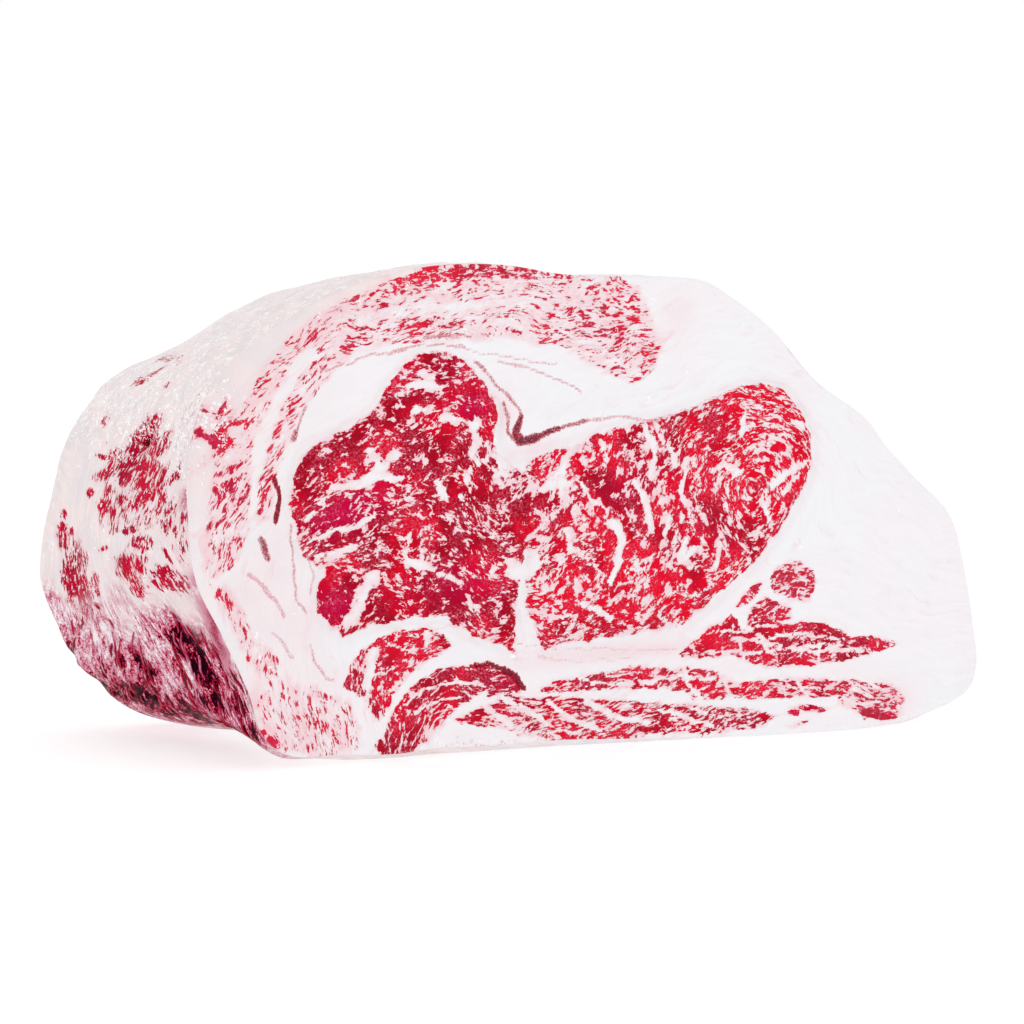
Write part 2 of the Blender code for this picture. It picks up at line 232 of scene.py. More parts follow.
# more or less fat in a patch: x, z, half sizes, turn in degrees, change of the fat share
patches = [
    (53, 56, 7, 5, 0, -0.25), (57, 89, 17, 5, 22, -0.09), (119, 106, 6.5, 8.5, 0, 0.42),
    (10, 117.5, 4, 5, 0, -0.06), (11.8, 127, 0.8, 2.6, -30, -0.9),
    (10.2, 124.2, 1.3, 2, -30, -0.9), (7.6, 115.8, 3, 3.6, 0, -0.7), (16.5, 117, 4.4, 6, 0, 0.07),
    (119, 27.2, 7, 2.2, -25, -0.22), (13, 96, 5, 9, 0, -0.12), (13, 77, 5, 6, 0, -0.06),
    (50, 9, 3.5, 7, 30, -0.09), (43, 18, 3, 5, 40, -0.07), (38, 12, 5, 5, 0, 0.04),
    (12, 61, 5, 3, -40, -0.12), (32, 11, 2.4, 4.5, -20, -0.12), (30, 35, 5, 6, -45, -0.05),
    (110, 2.5, 17, 4.5, 0, 0.8), (26, 9, 4, 3, -30, -0.6), (19, 37, 2.2, 3, -25, -0.5),
    (245, 17, 30, 4, -3, 0.04), (228, 44, 12, 3, 0, 0.02), (100, 26, 22, 4, 0, -0.02),
    (90, 8, 3, 3, 0, 0.3), (150, 158, 20, 5, -16, -0.03),
    (110, 174, 32, 3, 0, -0.24), (166, 163, 10, 8, 0, -0.05), (95, 160, 28, 1.8, 3, 0.2),
    (80, 170, 14, 3, 14, -0.14), (128, 162, 12, 5, 0, 0.1), (120, 144, 22, 3, -5, 0.3),
    (130, 145, 7, 2, 20, -0.25), (186, 150, 6, 3, 20, 0.1), (170, 146, 9, 3, -10, -0.1),
    (98, 112, 10, 9, 0, -0.08), (106, 124, 7, 5, 0, -0.18), (88, 153, 12, 3, 0, -0.1),
    (243, 98, 3, 8, -10, -0.2), (200, 117, 14, 4, 20, -0.1), (58, 112, 14, 4, 30, -0.14),
    (80, 56, 16, 5, 0, -0.2), (110, 58, 14, 6, 0, -0.14), (225, 118, 12, 8, 0, 0.02),
    (232, 110, 10, 9, 0, 0.05), (140, 96, 9, 6, 0, 0.1), (132, 70, 6, 6, 0, 0.1),
    (14, 118, 5, 8, 0, -0.1), (36, 127, 3, 7, -20, -0.1), (26, 96, 3, 8, 0, -0.14),
    (239.5, 6.8, 3.4, 2, -10, -1.3), (248, 7.6, 6, 1.7, -12, -1.5), (279, 3, 8, 0.9, -8, -1.0),
    (243, 2.6, 5, 0.9, 12, -1.1),
    (49, 16, 2, 5, 35, -0.12), (58.5, 17, 2, 5, -10, -0.2), (44, 10, 14, 6, 0, -0.03),
    (47, 24, 5, 3, -40, -0.1), (60, 18, 10, 4, 0, 0.05), (66, 8, 3, 6, 0, 0.3),
]
# pinker fat: x, z, half sizes, turn in degrees, strength
pinkPatches = [
    (119.5, 122, 3.5, 8, 0, 0.55), (130, 109, 12, 3, 14, 0.5), (165, 33, 44, 3.4, 2, 0.6),
    (30, 74, 7, 16, -20, 0.25), (34, 52, 13, 20, 0, 0.2), (45, 48, 8, 16, 0, 0.15),
    (84, 36, 24, 4.4, 12, 0.2), (120, 47, 5, 8, 0, 0.25), (150, 124, 26, 3, 8, 0.1),
    (190, 158, 7, 8, 30, 0.3), (178, 146, 9, 4, 30, 0.2), (283, 10, 9, 7, 0, 0.45),
    (22, 22, 3, 11, -15, 1.0), (29, 9, 5, 4, -45, 0.9), (36, 14, 16, 9, 0, 0.2),
    (16, 60, 8, 8, -30, 0.25), (18, 126, 9, 16, -28, 0.25), (48, 156, 16, 5, 38, 0.3),
    (4, 92, 4, 24, 0, 0.25), (140, 17, 30, 4, -10, 0.15), (110, 170, 40, 5, 0, 0.15),
    (222, 33, 26, 3, 4, 0.15), (52, 30, 9, 5, 0, 0.2), (262, 22, 16, 4, -8, 0.15),
    (70, 146, 16, 3, 6, 0.12), (200, 25, 30, 3, 0, 0.15),
]
# brighter, darker or more magenta lean: x, z, half sizes, turn, change of tint, magenta
tintPatches = [
    (58, 89, 18, 7, 22, 0.0, 0.8), (53, 56, 8, 6, 0, -0.4, 0.7), (226, 112, 24, 20, 0, 0.45, 0),
    (100, 132, 16, 12, 0, -0.1, 0.15), (106, 125, 7, 5, 0, 0.1, 0.7),
    (170, 94, 16, 9, 0, -0.4, 0.2), (16, 96, 8, 10, 0, -0.2, 0.4),
    (84, 58, 16, 6, 0, -0.2, 0.1), (180, 50, 50, 16, 0, 0.2, 0), (205, 74, 14, 8, 0, -0.3, 0.1),
    # the first patch darkens the lean in the pocket under the arch, partly painted shade of that
    # gap
    (120, 24, 10, 4, -15, -0.6, 0.3), (246, 7, 10, 3, 0, -0.3, 0.4), (104, 62, 14, 8, 0, 0.0, 0.5),
    (24, 12, 5, 8, 0, 0.3, 0.5), (7, 116, 4, 6, 0, -0.5, 0.5),
    (9.6, 126, 2.4, 6, -30, -0.5, 0.2),
]
# white seams: points along each, half width, strength
whiteSeams = [
    ([(124.5, 37), (126, 47), (127, 58)], 1.2, 1.0), ([(122, 64), (127, 64), (131, 69)], 2.0, 1.0),
    ([(127, 58), (126, 66), (119, 68), (113, 66)], 0.9, 0.8),
    ([(142, 100), (144, 105), (147, 110)], 1.2, 1.0),
    ([(134, 94), (140, 97), (145, 96)], 1.4, 0.8),
    ([(176, 116), (179, 110), (179.5, 104), (178, 98)], 0.9, 1.0),
    ([(171, 96), (174, 92), (176.5, 87), (178, 79)], 1.0, 1.0),
    ([(161, 81), (164.5, 80), (166, 76), (165.5, 71), (164.5, 65), (162, 59)], 1.2, 1.1),
    ([(144, 79), (145.5, 72)], 1.1, 0.9),
    ([(62, 98), (66, 100), (71, 104), (76, 108)], 1.6, 1.0), ([(66, 101), (78, 100)], 1.2, 0.9),
    ([(60, 98), (52, 97), (47, 93)], 1.2, 0.8), ([(70, 104), (66, 111)], 1.0, 0.8),
    ([(82, 69.5), (88, 68), (94, 65), (101, 62)], 1.1, 0.9), ([(82, 80), (80, 68)], 0.8, 0.6),
    ([(95, 122), (101, 120.5), (106, 118.5)], 1.5, 0.9),
    ([(107, 118), (108, 112), (106, 108)], 1.6, 0.9),
    ([(84, 124), (88, 124)], 1.4, 0.9), ([(82, 133), (88, 133), (94, 131)], 1.2, 0.9),
    ([(86, 137), (91, 136)], 1.0, 0.8), ([(58, 50), (62, 54), (64, 60), (68, 65)], 2.1, 1.0),
    ([(47, 73), (54, 74), (60, 76)], 1.2, 0.8),
    ([(44, 79), (52, 82), (60, 83), (68, 87)], 0.8, 0.7),
    ([(41, 86), (48, 90)], 0.7, 0.6), ([(65, 26), (67, 32), (68, 38)], 1.3, 1.0),
    ([(66, 12), (65, 22)], 1.2, 0.8), ([(88, 38), (89, 44)], 0.9, 0.7),
    ([(103, 98), (106, 104), (112, 106)], 0.8, 0.6), ([(96, 92), (92, 98)], 1.0, 0.8),
    ([(104, 57), (106, 53), (114, 55)], 1.1, 0.8), ([(76, 22), (84, 29), (94, 33)], 0.8, 0.8),
    ([(78, 17), (88, 24), (100, 26), (112, 24)], 0.6, 0.8),
    ([(92, 8), (102, 16), (112, 21)], 0.9, 1.0),
    ([(84, 16), (96, 20), (110, 20)], 0.5, 0.7), ([(204, 99), (209, 101), (214, 99)], 0.9, 0.7),
    ([(229, 93), (235, 97), (243, 101)], 1.0, 0.9), ([(235, 91), (241, 97)], 0.8, 0.8),
    ([(186, 108), (188, 102)], 1.0, 0.9), ([(193, 104), (192, 96), (190, 92)], 0.9, 0.8),
    ([(217, 119), (216, 112)], 0.9, 0.8), ([(221, 116), (217, 113)], 0.9, 0.7),
    ([(181, 116), (183, 110)], 0.8, 0.8), ([(238, 118), (243, 114)], 0.9, 0.6),
    ([(210, 86), (212, 79)], 0.9, 0.6), ([(225, 87), (228, 80)], 0.9, 0.6),
    ([(193, 74), (190, 66), (196, 70)], 1.0, 0.7), ([(207, 72), (206, 64)], 0.9, 0.7),
    ([(150, 52), (156, 50), (162, 46)], 1.0, 0.7), ([(182, 46), (186, 42), (184, 39)], 1.0, 0.7),
    ([(150, 96), (154, 90), (160, 86)], 0.8, 0.6), ([(186, 83), (184, 76)], 0.8, 0.6),
    ([(192, 36), (200, 31.5), (214, 31), (226, 29.5)], 0.5, 0.8),
    ([(213, 36), (222, 35), (232, 33), (244, 29.5), (256, 29.5), (270, 29)], 0.6, 0.9),
    ([(217.5, 41), (227, 35), (236, 36.6), (248.5, 35.8), (261, 33)], 0.42, 0.85),
    ([(224, 38), (228.5, 30.8), (236, 30.6), (248.5, 32), (258, 31)], 0.42, 0.85),
    ([(250.8, 33), (250.5, 25)], 0.36, 0.8), ([(243, 31), (242.3, 25)], 0.36, 0.6),
    ([(216, 36), (218, 27)], 0.36, 0.7), ([(207, 39.5), (217, 38.4), (224, 40.5)], 0.36, 0.7),
    ([(192, 27), (194, 20), (200, 14)], 0.6, 0.7), ([(210, 21), (212, 13)], 0.5, 0.6),
    ([(150, 24), (168, 21), (190, 23), (206, 21)], 0.5, 0.8), ([(240, 20), (246, 12)], 0.4, 0.6),
    ([(136, 17), (146, 10), (158, 5)], 0.6, 0.9), ([(126, 16), (136, 9)], 0.6, 0.8),
    ([(152, 16), (166, 9), (178, 6)], 0.7, 0.9), ([(182, 11), (194, 7), (204, 4)], 0.5, 0.9),
    ([(196, 11), (210, 6)], 0.4, 0.8), ([(112, 16), (122, 9)], 0.6, 0.9),
    ([(118, 19), (130, 12)], 0.6, 0.8),
]
# thin membranes, some of them partly painted shade of a gap or crease: points along each, half
# width, strength, tone from brown (0) through purple (0.5) to blood (1)
membranes = [
    ([(108, 141), (113, 136), (118, 130.5), (122, 127), (125.6, 123.5), (126, 120.5)],
     0.5, 0.5, 0.3),
    # the purple line round the notch, partly painted shade of the crease there
    ([(126, 121), (124.6, 117.5), (123.6, 115), (124.6, 112.6)], 0.8, 0.74, 0.55),
    ([(124, 114), (125.4, 111.8), (129, 112), (132, 113.2)], 1.2, 0.84, 0.52),
    ([(131, 113), (136, 114.6), (141, 116.2)], 0.85, 0.76, 0.5),
    ([(140, 116), (147, 118), (153, 119)], 0.6, 0.6, 0.4),
    ([(152, 119), (165, 119.7), (172, 119), (181, 118)], 0.6, 0.36, 0.15),
    ([(119, 126), (120.8, 121), (120.6, 116), (122.5, 113)], 0.5, 0.5, 0.45),
    ([(48, 138.5), (55, 140.5), (60, 141), (66, 144), (75, 145), (85, 147), (95, 147.5),
      (104, 146)], 0.42, 0.42, 0.1),
    ([(88, 150), (98, 150.5), (106, 149.5)], 0.42, 0.5, 0.3),
    ([(100, 146.5), (110, 144), (120, 142.6), (130, 140.5), (140, 140)], 0.42, 0.3, 0.1),
    ([(117, 141), (130, 138), (140, 134), (146, 132), (150, 129)], 0.42, 0.4, 0.1),
    ([(31, 101), (32.3, 96), (32, 90), (31, 86)], 0.55, 0.9, 0.9),
    ([(43, 126), (40, 120), (38, 115)], 0.5, 0.42, 0.3),
    ([(38.8, 117.5), (38, 114.5)], 0.95, 0.6, 0.3),
    ([(37, 85), (37, 76), (38, 66), (39, 58), (42, 54)], 0.42, 0.4, 0.1),
    ([(25.4, 80), (28, 73.5)], 0.9, 0.66, 0.35), ([(26, 78.5), (27.3, 75.5)], 0.6, 0.8, 0.6),
    ([(21, 68), (27, 63), (31, 58), (34, 53)], 0.75, 0.36, 0.2),
    ([(30, 47), (34, 43), (37, 38)], 0.65, 0.3, 0.2),
    ([(44, 42), (45.5, 36), (50, 30), (53, 29)], 0.5, 0.36, 0.2),
    # the dark pocket under the arch: blood-dark lines that are partly painted shade of the gap
    # there
    ([(107, 31.6), (113, 31.4), (119, 29.8), (124, 26.7), (127.5, 22)], 0.5, 0.9, 0.95),
    ([(119, 29), (123.5, 26), (126.4, 22.5)], 0.7, 0.9, 1.0),
    ([(181, 118), (200, 124), (216, 130)], 0.42, 0.28, 0.1),
    ([(120, 39), (140, 36), (165, 34.5), (190, 33)], 0.42, 0.26, 0.0),
    ([(133, 33), (150, 30.5), (170, 31)], 0.42, 0.24, 0.0),
    ([(44, 60), (45.5, 68), (43, 74)], 0.42, 0.3, 0.1),
]
# crumbs of fat: x, z, half sizes, turn, strength
cutCrumbs = [(9.8, 121.6, 4.2, 2.6, 0, 1.0), (11.6, 113, 1.4, 4, 0, 0.7), (3.5, 112, 2, 8, 0, 0.3),
             (108, 1, 13, 2.4, 0, 1.0), (138, 0.5, 10, 1.5, 0, 0.4), (13, 131, 4, 3, 0, 0.2)]
# painted highlights of wet spots, laid as white into the colour: x, z, half sizes, turn, strength
paintedGlintPatches = [
    (10, 116, 4, 8, 0, 1.0), (14, 128, 4, 5, -20, 0.8), (56, 73, 6, 1.5, 0, 0.7),
    (85, 70, 5, 2, 0, 0.6), (30, 30, 10, 5, 40, 0.3), (100, 4, 20, 3, 0, 0.6),
    (75, 165, 30, 6, 14, 0.25),
]
# grain of the meat: x, z, direction in degrees
grain = [
    (16, 50, 130), (30, 60, 128), (40, 40, 125), (28, 25, 140), (50, 20, 120), (30, 80, 98),
    (60, 8, 126), (42, 10, 132), (60, 20, 122), (30, 18, 128), (50, 8, 130), (36, 10, 132),
    (44, 18, 128), (52, 14, 126), (58, 12, 126), (35, 26, 128),
    (10, 80, 88), (10, 100, 86), (28, 100, 86), (18, 122, 66), (36, 122, 66), (34, 142, 50),
    (52, 156, 32), (56, 145, 34), (75, 167, 14), (75, 152, 10), (100, 172, 0), (100, 158, 6),
    (125, 170, -7), (130, 157, -12), (150, 165, -18), (150, 150, -20), (168, 160, -28),
    (172, 140, -34), (185, 152, 25), (48, 106, 34), (62, 112, 38), (58, 90, 24), (44, 84, 20),
    (78, 124, 42), (90, 136, 18), (106, 127, 2), (112, 112, -60), (74, 98, 16), (58, 72, -8),
    (84, 66, -14), (98, 92, -20), (112, 70, -26), (100, 50, -8), (74, 54, -10), (118, 46, 30),
    (84, 108, 20), (134, 100, 40), (150, 104, 58), (166, 106, 80), (138, 80, 62), (150, 58, 80),
    (168, 72, 78), (184, 96, 84), (190, 112, 76), (200, 74, 62), (214, 66, 46), (160, 44, 15),
    (180, 50, 60), (204, 106, 72), (206, 118, 50), (228, 128, -8), (240, 119, -52),
    (246, 104, -88), (242, 90, -112), (232, 76, -132), (76, 28, 58), (70, 40, 40), (88, 41, 5),
    (82, 14, 50), (100, 27, 2), (120, 23, -22), (108, 11, -28), (130, 13, -27), (160, 9, -24),
    (200, 6, -12), (160, 24, 2), (200, 20, -14), (240, 16, -8), (272, 11, -12), (206, 36, 24),
    (225, 34, 4), (250, 33, -6), (272, 30, -10), (222, 52, 40), (240, 57, 22), (229, 45, 12),
    (280, 60, -70), (250, 145, -40), (210, 150, -20),
]
for turn in range(0, 360, 45):
    for radius in (7, 15):
        phi = math.radians(turn)
        grain.append((222 + radius * math.cos(phi), 93 + radius * math.sin(phi), turn - 90))
tracedLift = 1.5   # the traced outlines sit this much higher on the block


# distance to the nearest of these straight lines
def lineDistance(x, z, points):
    nearest = np.full(x.shape, np.inf)
    for (x0, z0), (x1, z1) in zip(points, points[1:]):
        run, rise = x1 - x0, z1 - z0
        t = ((x - x0) * run + (z - tracedLift - z0) * rise) / (run * run + rise * rise)
        t = np.clip(t, 0, 1)
        nearest = np.minimum(nearest, np.hypot(x - x0 - t * run, z - tracedLift - z0 - t * rise))
    return nearest


# distance to a closed outline, positive inside
def signedDistance(x, z, outline):
    points = list(outline) + [outline[0]]
    low = z - tracedLift
    inside = np.zeros(x.shape, bool)
    for (x0, z0), (x1, z1) in zip(points, points[1:]):
        if z0 != z1:
            inside ^= ((z0 > low) != (z1 > low)) & (x < x0 + (low - z0) / (z1 - z0) * (x1 - x0))
    nearest = lineDistance(x, z, points)
    return np.where(inside, nearest, -nearest)


# height measured across the grain: it changes along no fibre and fastest between them
def grainAcross(x, z, guides, reach, lift=0.0, step=2.0):
    gridX, gridZ = np.meshgrid(np.arange(-30, 351, step), np.arange(-30, 211, step))
    dirX, dirZ = np.zeros(gridX.shape), np.zeros(gridX.shape)
    for px, pz, degrees in guides:
        away = (gridX - px) ** 2 + (gridZ - pz - lift) ** 2
        weight = np.exp(-away / (2 * reach * reach)) + 0.02 / (1 + away / 400)
        dirX += weight * math.cos(math.radians(degrees))
        dirZ += weight * math.sin(math.radians(degrees))
    size = np.hypot(dirX, dirZ) + 1e-9
    slopeX, slopeZ = -dirZ / size, dirX / size
    # least squares surface with these slopes, solved with the mirrored field
    wideX = np.block([[slopeX, -slopeX[:, ::-1]], [slopeX[::-1], -slopeX[::-1, ::-1]]])
    wideZ = np.block([[slopeZ, slopeZ[:, ::-1]], [-slopeZ[::-1], -slopeZ[::-1, ::-1]]])
    waveX = 2 * np.pi * np.fft.fftfreq(wideX.shape[1], step)[None, :]
    waveZ = 2 * np.pi * np.fft.fftfreq(wideX.shape[0], step)[:, None]
    square = waveX ** 2 + waveZ ** 2
    square[0, 0] = 1
    height = np.fft.ifft2(-1j * (waveX * np.fft.fft2(wideX) + waveZ * np.fft.fft2(wideZ)) / square)
    height = height.real[:gridX.shape[0], :gridX.shape[1]]
    column = np.clip((x + 30) / step, 0, gridX.shape[1] - 1.001)
    row = np.clip((z + 30) / step, 0, gridX.shape[0] - 1.001)
    c, r = column.astype(int), row.astype(int)
    u, v = column - c, row - r
    return ((height[r, c] * (1 - u) + height[r, c + 1] * u) * (1 - v)
            + (height[r + 1, c] * (1 - u) + height[r + 1, c + 1] * u) * v)


noise.seed_set(4)    # without it noise_vector changes from run to run


# small smooth shifts, so that traced lines aren't too clean
def wobble(x, z, size, amount, seed):
    out = np.empty((len(x), 2))
    for k, (px, pz) in enumerate(zip(x, z)):
        turn = noise.noise_vector(Vector((px / size, seed, pz / size)))
        out[k] = turn[0] * amount, turn[2] * amount
    return x + out[:, 0], z + out[:, 1]


# soft turned oval, 1 in its middle
def patchAt(dx, dz, halfX, halfZ, turn):
    c, s = math.cos(math.radians(turn)), math.sin(math.radians(turn))
    return np.exp(-((dx * c + dz * s) / halfX) ** 2 - ((dz * c - dx * s) / halfZ) ** 2)


# all patches of a list, added up or else the strongest one at each place
def patchSum(x, z, patchList, add=False):
    total = np.zeros(x.shape)
    for px, pz, halfX, halfZ, turn, strength, *_ in patchList:
        patch = strength * patchAt(x - px, z - pz, halfX, halfZ, turn)
        total = total + patch if add else np.maximum(total, patch)
    return total


cutMap = {
    "plainFat": 1.3,            # fat share outside the zones, far past any lean
    "seamFat": 0.52,            # what a white seam adds to it
    "bends": (5.0, 0.9),        # size and amount by which the traced lines wander
    "rags": (1.7, 0.6),         # the same for their finer raggedness
    "seamSink": (1.4, 2.2),     # depth and reach of the dip along the large muscles
    "fatSink": (1.0, -4, 9),    # how much lower the fat lies, and where beside them it starts
}


# fat share, dashes, membranes and relief over a cut at these places
def cutFields(x, z, seed):
    wx, wz = wobble(x, z, *cutMap["bends"], seed)
    ragX, ragZ = wobble(wx, wz, *cutMap["rags"], seed + 5)
    plain = cutMap["plainFat"]
    fat = np.full(x.shape, plain)
    look = {"dash": np.zeros(x.shape), "pale": np.zeros(x.shape), "tint": np.full(x.shape, 0.5)}
    for zone in zones.values():
        inside = signedDistance(ragX, ragZ, zone["outline"])
        here = plain - (plain - zone["fat"]) * ease(-zone["edge"], zone["edge"], inside)
        for label, values in look.items():
            values[here < fat] = zone[label]
        fat = np.minimum(fat, here)
    for points, width, strength in whiteSeams:
        near = 1 - ease(0, width * 2.0, lineDistance(ragX, ragZ, points))
        fat = fat + near * strength * cutMap["seamFat"]
    film, filmTone, closest = np.zeros(x.shape), np.zeros(x.shape), np.full(x.shape, 9.0)
    for points, width, strength, tone in membranes:
        away = lineDistance(wx, wz, points)
        film = np.maximum(film, strength * (1 - ease(width * 0.5, width * 2.0, away)))
        filmTone = np.where(away - width < closest, tone, filmTone)
        closest = np.minimum(closest, away - width)
    low = z - tracedLift
    fat = fat + patchSum(x, low, patches, add=True)
    look["tint"] += patchSum(x, low, tintPatches, add=True)
    magentaPatches = [(*patch[:5], patch[6]) for patch in tintPatches]
    muscle = np.maximum(signedDistance(x, z, zones["eye"]["outline"]),
                        signedDistance(x, z, zones["crown"]["outline"]))
    (seamDepth, reach), (fatDepth, start, end) = cutMap["seamSink"], cutMap["fatSink"]
    sink = seamDepth * np.exp(-(muscle / reach) ** 2) + fatDepth * (1 - ease(start, end, muscle))
    return {"fatShare": fat, "film": film, "filmTone": filmTone,
            "magenta": patchSum(x, low, magentaPatches),
            "pink": np.clip(patchSum(x, low, pinkPatches, add=True), 0, 1),
            "paintedGlint": patchSum(x, low, paintedGlintPatches), "crumbShare": patchSum(x, low, cutCrumbs),
            **look}, sink


# net stretched across a closed ring, with the ring's points on its four sides
def cutNet(ring, rows):
    columns = len(ring) // 2 - rows
    left, top = ring[:rows + 1], ring[rows:rows + columns + 1]
    right = ring[rows + columns:2 * rows + columns + 1][::-1]
    bottom = np.concatenate([ring[2 * rows + columns:], ring[:1]])[::-1]
    v = (np.arange(rows + 1) / rows)[:, None, None]
    u = (np.arange(columns + 1) / columns)[None, :, None]
    corners = ((1 - u) * (1 - v) * left[0] + u * (1 - v) * right[0]
               + (1 - u) * v * left[-1] + u * v * right[-1])
    return (1 - u) * left[:, None] + u * right[:, None] + (1 - v) * bottom + v * top - corners


# index of the net's points round its edge, in the ring's order
def netEdge(rows, columns):
    wide = columns + 1
    up = [r * wide for r in range(rows)]
    across = [rows * wide + c for c in range(columns)]
    down = [(rows - r) * wide + columns for r in range(rows)]
    back = [columns - c for c in range(columns)]
    return np.array(up + across + down + back)


# closed mesh from quads and triangles in mm, with its fields and its own map
def makeMesh(name, points, faces, fields, cornerUv):
    mesh = bpy.data.meshes.new(name)
    mesh.from_pydata(toWorld(points).tolist(), [], faces)
    for label, values in fields.items():
        if values.ndim == 1:
            mesh.attributes.new(label, "FLOAT", "POINT").data.foreach_set("value", values)
        else:
            item = mesh.attributes.new(label, "FLOAT_VECTOR", "POINT")
            item.data.foreach_set("vector", values.ravel())
    layer = mesh.uv_layers.new(name="OFBake")
    layer.data.foreach_set("uv", np.clip(cornerUv, 0.0005, 0.9995).ravel())
    mesh.update()
    mesh.shade_smooth()
    piece = bpy.data.objects.new(name, mesh)
    bpy.context.scene.collection.objects.link(piece)
    return piece


def ownPiece(piece, material):
    piece.data.materials.clear()
    piece.data.materials.append(material)
    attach(piece, "root")
    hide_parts("ribeye_block")
    return piece


# nearest of the ring's points, found in blocks
def nearestOn(ring, points):
    out = np.empty(points.shape)
    for k in range(0, len(points), 4000):
        part = points[k:k + 4000]
        away = ((part[:, None, :] - ring[None, ::4, :]) ** 2).sum(2)
        out[k:k + 4000] = ring[::4][away.argmin(1)]
    return out


cutFace = {
    "rows": 190,
    "columns": 418,
    "thickness": 8.0,
    "grainReach": 9.0,
    "unevenGrain": [(15.0, 3.6), (6.0, 0.7)],     # size and amount in mm
    "calm": 6.0,                  # the relief sets in over this way from the edge
    "backRim": 0.4,               # radius of the back cut's edge
    "bends": (25, 50, 75, 90),    # degrees round the edge
    "dive": [(-0.03, 0.8), (0.7, 1.9), (0.9, 5)],     # then under the fat: inset, way back
}


# all that a cut carries at these places, and its relief
def cutSurface(net, ring, seed):
    x, z = net.T
    fields, sink = cutFields(x, z, seed)
    fields["across"] = grainAcross(x, z, grain, cutFace["grainReach"], tracedLift)
    for size, amount in cutFace["unevenGrain"]:
        fields["across"] += [amount * noise.noise(Vector((px / size, seed, pz / size)))
                             for px, pz in net]
    fromEdge = np.hypot(*(net - nearestOn(ring, net)).T)
    # a warmer border up the left side and over the shoulder, plain fat at the very edge
    border = (1 - ease(2, 17, fromEdge)) * (1 - ease(60, 120, x)) * ease(92, 118, z)
    fields["outer"] = border + 0.45 * (1 - ease(10, 75, x))
    plain = (1 - ease(0.5, 4.5, fromEdge)) * (1 - ease(20, 60, x)) * ease(30, 60, z)
    fields["fatShare"] += 0.4 * plain
    return fields, sink * ease(0, cutFace["calm"], fromEdge)


# the face as seen with its edge unrolled; what lies under the fat goes small into the corner
# that the face leaves free
def cutUv(flat, rings, faces):
    low, high = flat.min(0) - 0.5, flat.max(0) + 0.5
    flat = (flat - low) / (high - low)
    edge = flat[rings[0]]
    small = np.tile((0.945, 0.93), (len(flat), 1))
    for ring, size in zip(rings[-3:], (0.11, 0.09, 0.07)):
        small[ring] += (edge - edge.mean(0)) * size
    loops = np.concatenate([np.array(face) for face in faces])
    shown = 4 * (len(faces) - 3 * len(edge))
    return np.concatenate([flat[loops[:shown]], small[loops[shown:]]])


# one cut face as a thin closed slab: facing -1 is the front, 1 the back
def buildCut(name, depth, facing, seed):
    rows, columns = cutFace["rows"], cutFace["columns"]
    count = 2 * (rows + columns)
    where = np.arange(count) / count
    rim = rimRadius(where) if facing < 0 else cutFace["backRim"]
    ring = ringAt(where, depth, rim)
    net = cutNet(ring, rows).reshape(-1, 2)
    fields, sink = cutSurface(net, ring, seed)
    edge = netEdge(rows, columns)
    middle = net.mean(0)
    points = [np.stack([net[:, 0], depth - facing * sink, net[:, 1]], 1)]
    # round the edge, run on just proud of the outer fat, then dive under it
    bends = np.radians(cutFace["bends"])
    steps = [(rim * (1 - math.sin(a)), rim * (1 - math.cos(a)), rim * a) for a in bends]
    for k, (inset, back) in enumerate(cutFace["dive"]):
        steps.append((inset, rim + back, 0 if k else rim * bends[-1] + back))
    flat = [net]
    for inset, back, rolled in steps:
        if facing < 0:
            outer = ringAt(where, back + np.zeros(count), inset)
        else:
            outer = ringAt(where, depth - np.minimum(back, cutFace["backRim"]), inset)
        y = depth - facing * (back + np.zeros(count))
        points.append(np.stack([outer[:, 0], y, outer[:, 1]], 1))
        flat.append(ring + edgeNormals(where) * (rolled + np.zeros(count))[:, None])
    points.append([[middle[0], depth - facing * cutFace["thickness"], middle[1]]])
    flat.append([middle])
    for label, values in fields.items():
        fields[label] = np.concatenate([values] + [values[edge]] * len(steps) + [values[:1]])

    r, c = np.divmod(np.arange(rows * columns), columns)
    corner = r * (columns + 1) + c
    quads = [np.stack([corner, corner + 1, corner + columns + 2, corner + columns + 1], 1)]
    rings = [edge] + [len(net) + k * count + np.arange(count) for k in range(len(steps))]
    for near, far in zip(rings, rings[1:]):
        quads.append(np.stack([near, np.roll(near, -1), np.roll(far, -1), far], 1))
    tip = np.full(count, len(net) + len(steps) * count)
    fan = np.stack([rings[-1], np.roll(rings[-1], -1), tip], 1)
    faces = np.concatenate(quads).tolist() + fan.tolist()
    if facing > 0:
        faces = [face[::-1] for face in faces]
    cornerUv = cutUv(np.concatenate(flat), rings, faces)
    return makeMesh(name, np.concatenate(points), faces, fields, cornerUv)


# forms of the left flank: depth, height, half sizes, turn in degrees, rise
flankForms = [
    (51, 114, 9, 4.5, -33, -3.8), (53, 125, 15, 6, -10, 2.6), (12, 123, 8, 9, 0, 2.0),
    (12, 97, 5, 6, 0, -2.6), (14, 66, 5, 10, 0, -2.6), (45, 69, 13, 8, 0, 1.4),
    (93, 68, 7, 14, -15, -1.4), (28, 126, 8, 5, 0, 1.0), (77, 118, 14, 7, 0, 1.4),
    (110, 100, 16, 20, 0, 1.2), (30, 84, 8, 8, 0, 0.8), (66, 88, 9, 8, 0, -0.8),
    (45, 105, 14, 3, 0, -1.0), (71, 105, 6, 3, 0, -0.9),
]
